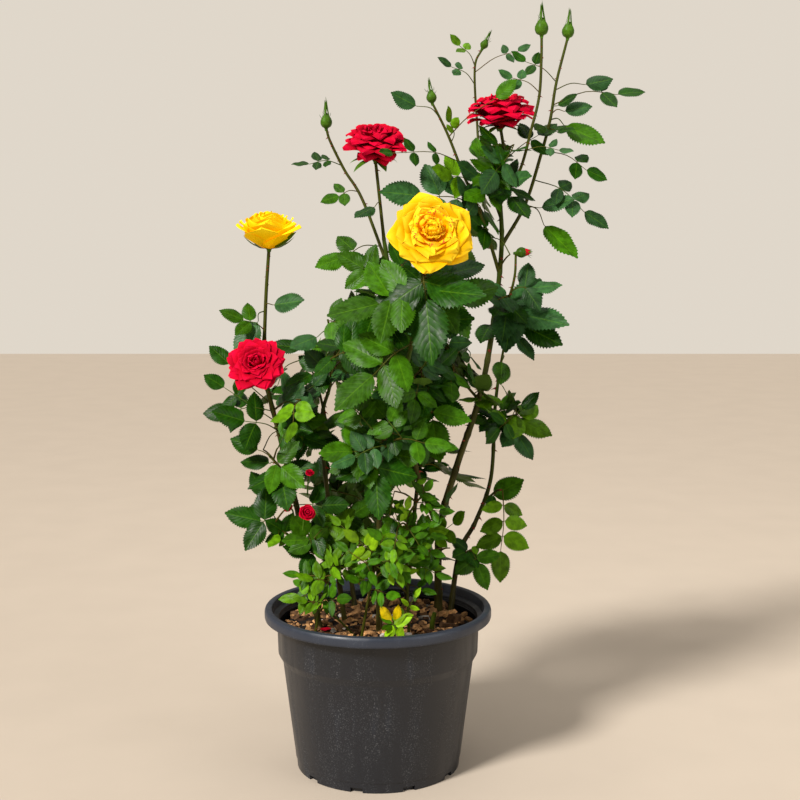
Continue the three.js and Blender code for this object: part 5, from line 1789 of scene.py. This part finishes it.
class ROSE_OT_leaves(bpy.types.Operator):
    """Makes the leaves, joined in four pieces from the top of the plant to its foot"""
    bl_idname = "rose_bush.leaves"
    bl_label = "Leaves"

    def execute(self, context):
        settings = context.scene.rose_leaf
        rib = scaled(settings.fresh, 1.5)
        finishes = [
            leaf_material("leaf_" + name, tuple(getattr(settings, name)), rib,
                          tuple(settings.under))
            for name in LEAF_COLOURS
        ]
        plant = growth()
        for name, numbers in LEAF_PIECES.items():
            shape = Shape()
            for number, leaf in plant["leaves"]:
                if number in numbers:
                    add_leaf(shape, SHOOTS[number], leaf)
            settle(shape.piece(name, finishes), [SHOOTS[k]["name"] for k in numbers])
        return {"FINISHED"}


# Each rose's kind, its sepals' length as a share of its radius and how they hang.
ROSE_LOOKS = {
    "upper_rose_shoot": ("red", 0.75, 0.9),
    "middle_rose_shoot": ("red", 0.9, 1.2),
    "yellow_rose_shoot": ("yellow", 0.6, 0.2),
    "yellow_side_shoot": ("cup", 0.72, -0.6),
    "front_rose_shoot": ("red", 0.6, 0.3),
}


class ROSE_OT_roses(bpy.types.Operator):
    """Makes the open roses, petal by petal"""
    bl_idname = "rose_bush.roses"
    bl_label = "Roses"

    def execute(self, context):
        settings = context.scene.rose_flower
        red = tuple(settings.red)
        yellow = tuple(settings.yellow)
        petals = {
            # Red petals: the dark foot is painted shade deep in the flower, and the bright rim a painted
            # highlight on the edges.
            "red": petal_material("petal_red", scaled(red, 0.35), red,
                                  linear(226, 8, 60), scaled(red, 0.6), 0.02),
            "yellow": petal_material("petal_yellow", linear(230, 128, 0), yellow,
                                     linear(255, 218, 44), linear(226, 20, 50), 0.08),
            # A lighter copy of the yellow for the cup rose, with a stronger painted glow: its brighter
            # foot is partly the rose's own colour and partly painted light on the cup's shaded underside.
            "lit_yellow": petal_material("petal_gold", linear(248, 172, 0), linear(250, 196, 0),
                                   linear(255, 226, 30), linear(236, 120, 0), 0.26),
        }
        green = leaf_material("sepal_green", tuple(settings.sepal), scaled(settings.sepal, 1.6),
                              scaled(settings.sepal, 1.2))
        stems = growth()["stems"]
        for seed, row in ending_in("rose"):
            kind, sepal_long, bend = ROSE_LOOKS[row["name"]]
            _, radius, axis, deep = row["end"]
            place = on_stem(stems[row["name"]], 1)
            flower = Shape()
            add_rose(flower, place, axis, radius, deep, kind, seed)
            add_calyx(flower, place, axis, radius, row["radii"][1], seed, sepal_long, bend,
                      kind == "cup")
            name = row["name"].replace("_shoot", "")
            colour = "lit_yellow" if kind == "cup" else kind
            settle(flower.piece(name, [petals[colour], green]))
        blooms = Shape()
        for seed, (place, radius, axis) in enumerate(SMALL_BLOOMS):
            way = unit(axis)
            add_rose(blooms, place, axis, radius, 0.9, "small", 60 + seed)
            foot = np.array(place) - way * 4
            add_tube(blooms, spline([foot - UP * 16 + way * -12, foot - way * 5, foot + way * 4],
                                    np.linspace(0, 1, 7)), 1.0, 6, (0.4, 0.4, 0, 0), 1)
        fallen = np.array([*PETAL_PLACE, bed_height(*PETAL_PLACE) + 4])
        add_leaflet(blooms, fallen, unit([1, 0.2, 0.1]), UP, UP, 15, (61, 0), 0, 0.8, 1.6)
        settle(blooms.piece("small_blooms", [petals["red"], green]))
        return {"FINISHED"}


OPENING_BUD = "side_bud_shoot"


def add_bud(shape, place, axis, radius, stem, seed, long_share, opening):
    """A closed bud wrapped in its sepals, drawn out to a long point, or with its petals showing."""
    axis = unit(axis)
    heights = np.array([-3, -1.5, 0.4, 1.6, 3.2, 1.0 * radius, 1.5 * radius, 2.0 * radius,
                        2.5 * radius, 2.9 * radius])
    widths = np.array([stem, stem * 1.1, stem * 1.4, radius * 0.75, radius * 0.96, radius * 1.14,
                       radius * 1.12, radius * 0.9, radius * 0.55, radius * 0.26])
    heights = np.maximum.accumulate(heights)
    profile = [(0, heights[0] - 0.5), *zip(widths, heights), (0, heights[-1] + 1)]
    tones = [(chance(seed, 3), k / (len(profile) - 1), 0.5, 0) for k in range(len(profile))]
    add_lathe(shape, profile, 15, place, axis, tones, 0,
              lambda turn, height: 1 + 0.06 * np.cos(5 * turn))
    if opening:
        tip = [(0, 1.6), (0.8, 1.6), (0.84, 2.1), (0.66, 2.7), (0.35, 3.1), (0, 3.3)]
        add_lathe(shape, [(wide * radius, high * radius) for wide, high in tip], 15, place, axis,
                  (0.8, 0.8, 0.5, 0), 1)
    across = crossways(axis)
    over = np.cross(axis, across)
    for k in range(SEPALS):
        turn = k * 2 * math.pi / SEPALS + 0.3
        out = spoke(across, over, turn)
        root = np.asarray(place) + axis * radius * 1.9 + out * radius * 0.85
        long = radius * spread(3.3, 4.4, seed, 60, k)
        bend = spread(-0.7, -0.4, seed, 61, k) if k == 2 else spread(-0.26, -0.1, seed, 61, k)
        add_blade(shape, root, unit(axis - out * 0.3), -out, long * long_share, radius * 0.2, bend,
                  chance(seed, 62, k), 0, 9, 0.4)
        for hand in (-1, 1):
            if chance(seed, 63, k, hand + 1) < 0.55:
                continue
            side = np.cross(axis, out) * hand
            start = np.asarray(place) + axis * radius * spread(1.6, 2.8, seed, 64, k)
            start = start + out * radius * 0.85
            end = start + (side * 0.5 + out * 0.5 + axis * 0.8) * radius * 0.9
            add_tube(shape, [start, mix(start, end, 0.5) + out * 0.3, end], [0.35, 0.25, 0.08], 4,
                     (0.5, 0.8, 0.5, 0), 0)


class ROSE_OT_buds(bpy.types.Operator):
    """Makes the closed buds"""
    bl_idname = "rose_bush.buds"
    bl_label = "Buds"

    def execute(self, context):
        settings = context.scene.rose_flower
        green = leaf_material("bud_green", tuple(settings.sepal), scaled(settings.sepal, 1.6),
                              scaled(settings.sepal, 1.2))
        stems = growth()["stems"]
        shape = Shape()
        for seed, row in ending_in("bud"):
            _, radius, axis = row["end"]
            opening = row["name"] == OPENING_BUD
            add_bud(shape, on_stem(stems[row["name"]], 1), axis, radius, row["radii"][1], seed,
                    0.45 if opening else 1, opening)
        red = petal_material("bud_red", scaled(settings.red, 0.6), tuple(settings.red),
                             tuple(settings.red), scaled(settings.red, 0.6), 0.02)
        settle(shape.piece("buds", [green, red]))
        return {"FINISHED"}


def add_lamp(name, kind, place, size, power, colour):
    """A round soft lamp of some width in metres, or a sun of some width in degrees."""
    lamp = bpy.data.lights.new(name, kind)
    if kind == "AREA":
        lamp.shape = "DISK"
        lamp.size = size
    else:
        lamp.angle = math.radians(size)
    lamp.energy = power
    lamp.color = colour
    piece = bpy.data.objects.new(name, lamp)
    piece.location = place
    piece.rotation_mode = "QUATERNION"
    piece.rotation_quaternion = (Vector(LIT_POINT) - Vector(place)).to_track_quat("-Z", "Y")
    bpy.context.scene.collection.objects.link(piece)


# The lamps, in metres: name, kind, place, width and colour. They shine at one point.
LAMPS = [
    ("key_light", "SUN", (-1.5, -1.7, 2.3), 12, (1, 0.97, 0.92)),
    ("fill_light", "AREA", (1.9, -1.4, 1.2), 1.6, (1, 1, 0.98)),
    ("top_light", "AREA", (0.1, 0.3, 2.6), 1.8, (1, 1, 0.98)),
]
LIT_POINT = (0.03, 0, 0.5)
FLOOR_REACH = 6000


class ROSE_OT_stage(bpy.types.Operator):
    """Sets the floor, the soft lights and the camera"""
    bl_idname = "rose_bush.stage"
    bl_label = "Stage"

    def execute(self, context):
        settings = context.scene.rose_stage
        scene = context.scene
        floor = Shape()
        reach = FLOOR_REACH
        floor.add([(-reach, -reach, 0), (reach, -reach, 0), (reach, reach, 0), (-reach, reach, 0)],
                  [(0, 1, 2, 3)])
        material, tree, shader = new_material("floor_pale", 0.8, 0.2)
        grain = place_group(tree, mottle_group(), Dark=scaled(settings.floor, 0.96),
                            Light=tuple(settings.floor), Scale=8.0, Contrast=0.4)
        tree.links.new(grain.outputs["Colour"], shader.inputs["Base Color"])
        floor.piece("floor", [material])
        for name, kind, place, size, colour in LAMPS:
            power = settings.key if kind == "SUN" else settings.fill
            add_lamp(name, kind, place, size, power, colour)
        world = bpy.data.worlds.new("studio")
        world.use_nodes = True
        tree = world.node_tree
        back = tree.nodes["Background"]
        back.inputs["Color"].default_value = (0.93, 0.85, 0.74, 1)
        path = new_node(tree, "ShaderNodeLightPath")
        seen = ramp_value(tree, path.outputs["Is Camera Ray"], 0.0, 1.0, 0.32, 0.8)
        tree.links.new(seen, back.inputs["Strength"])
        scene.world = world
        scene.view_settings.view_transform = "Standard"
        lens = bpy.data.cameras.new("camera")
        lens.lens = settings.lens
        lens.sensor_width = FILM
        lens.clip_start = 0.01
        camera = bpy.data.objects.new("camera", lens)
        camera.location = EYE * MM
        camera.rotation_euler = (math.radians(90) - LOOK_DOWN, 0, 0)
        scene.collection.objects.link(camera)
        scene.camera = camera
        return {"FINISHED"}


class ROSE_PT_panel(bpy.types.Panel):
    """Lists the pieces of the rose bush and their settings"""
    bl_label = "Rose bush"
    bl_idname = "ROSE_PT_panel"
    bl_space_type = "VIEW_3D"
    bl_region_type = "UI"
    bl_category = "Rose bush"

    def draw(self, context):
        for label, settings in SETTINGS.items():
            box = self.layout.box()
            group = getattr(context.scene, label)
            for name in settings.__annotations__:
                box.prop(group, name)
        for operator in OPERATORS:
            self.layout.operator(operator.bl_idname)


SETTINGS = {
    "rose_pot": PotSettings,
    "rose_cane": CaneSettings,
    "rose_leaf": LeafSettings,
    "rose_flower": RoseSettings,
    "rose_stage": StageSettings,
}
OPERATORS = (ROSE_OT_pot, ROSE_OT_mix, ROSE_OT_canes, ROSE_OT_twigs, ROSE_OT_leaves,
             ROSE_OT_roses, ROSE_OT_buds, ROSE_OT_stage)


def register():
    for entry in (*SETTINGS.values(), *OPERATORS, ROSE_PT_panel):
        bpy.utils.register_class(entry)
    for label, settings in SETTINGS.items():
        setattr(bpy.types.Scene, label, PointerProperty(type=settings))


def unregister():
    for label in SETTINGS:
        delattr(bpy.types.Scene, label)
    for entry in reversed((*SETTINGS.values(), *OPERATORS, ROSE_PT_panel)):
        bpy.utils.unregister_class(entry)


def corners(box):
    return [[float(value) for value in corner] for corner in box]


def main():
    register()
    for piece in ("pot", "mix", "canes", "twigs", "leaves", "roses", "buds", "stage"):
        if getattr(bpy.ops.rose_bush, piece)() != {"FINISHED"}:
            raise RuntimeError("the " + piece + " could not be made")
    bpy.context.view_layer.update()


if __name__ == "__main__":
    main()
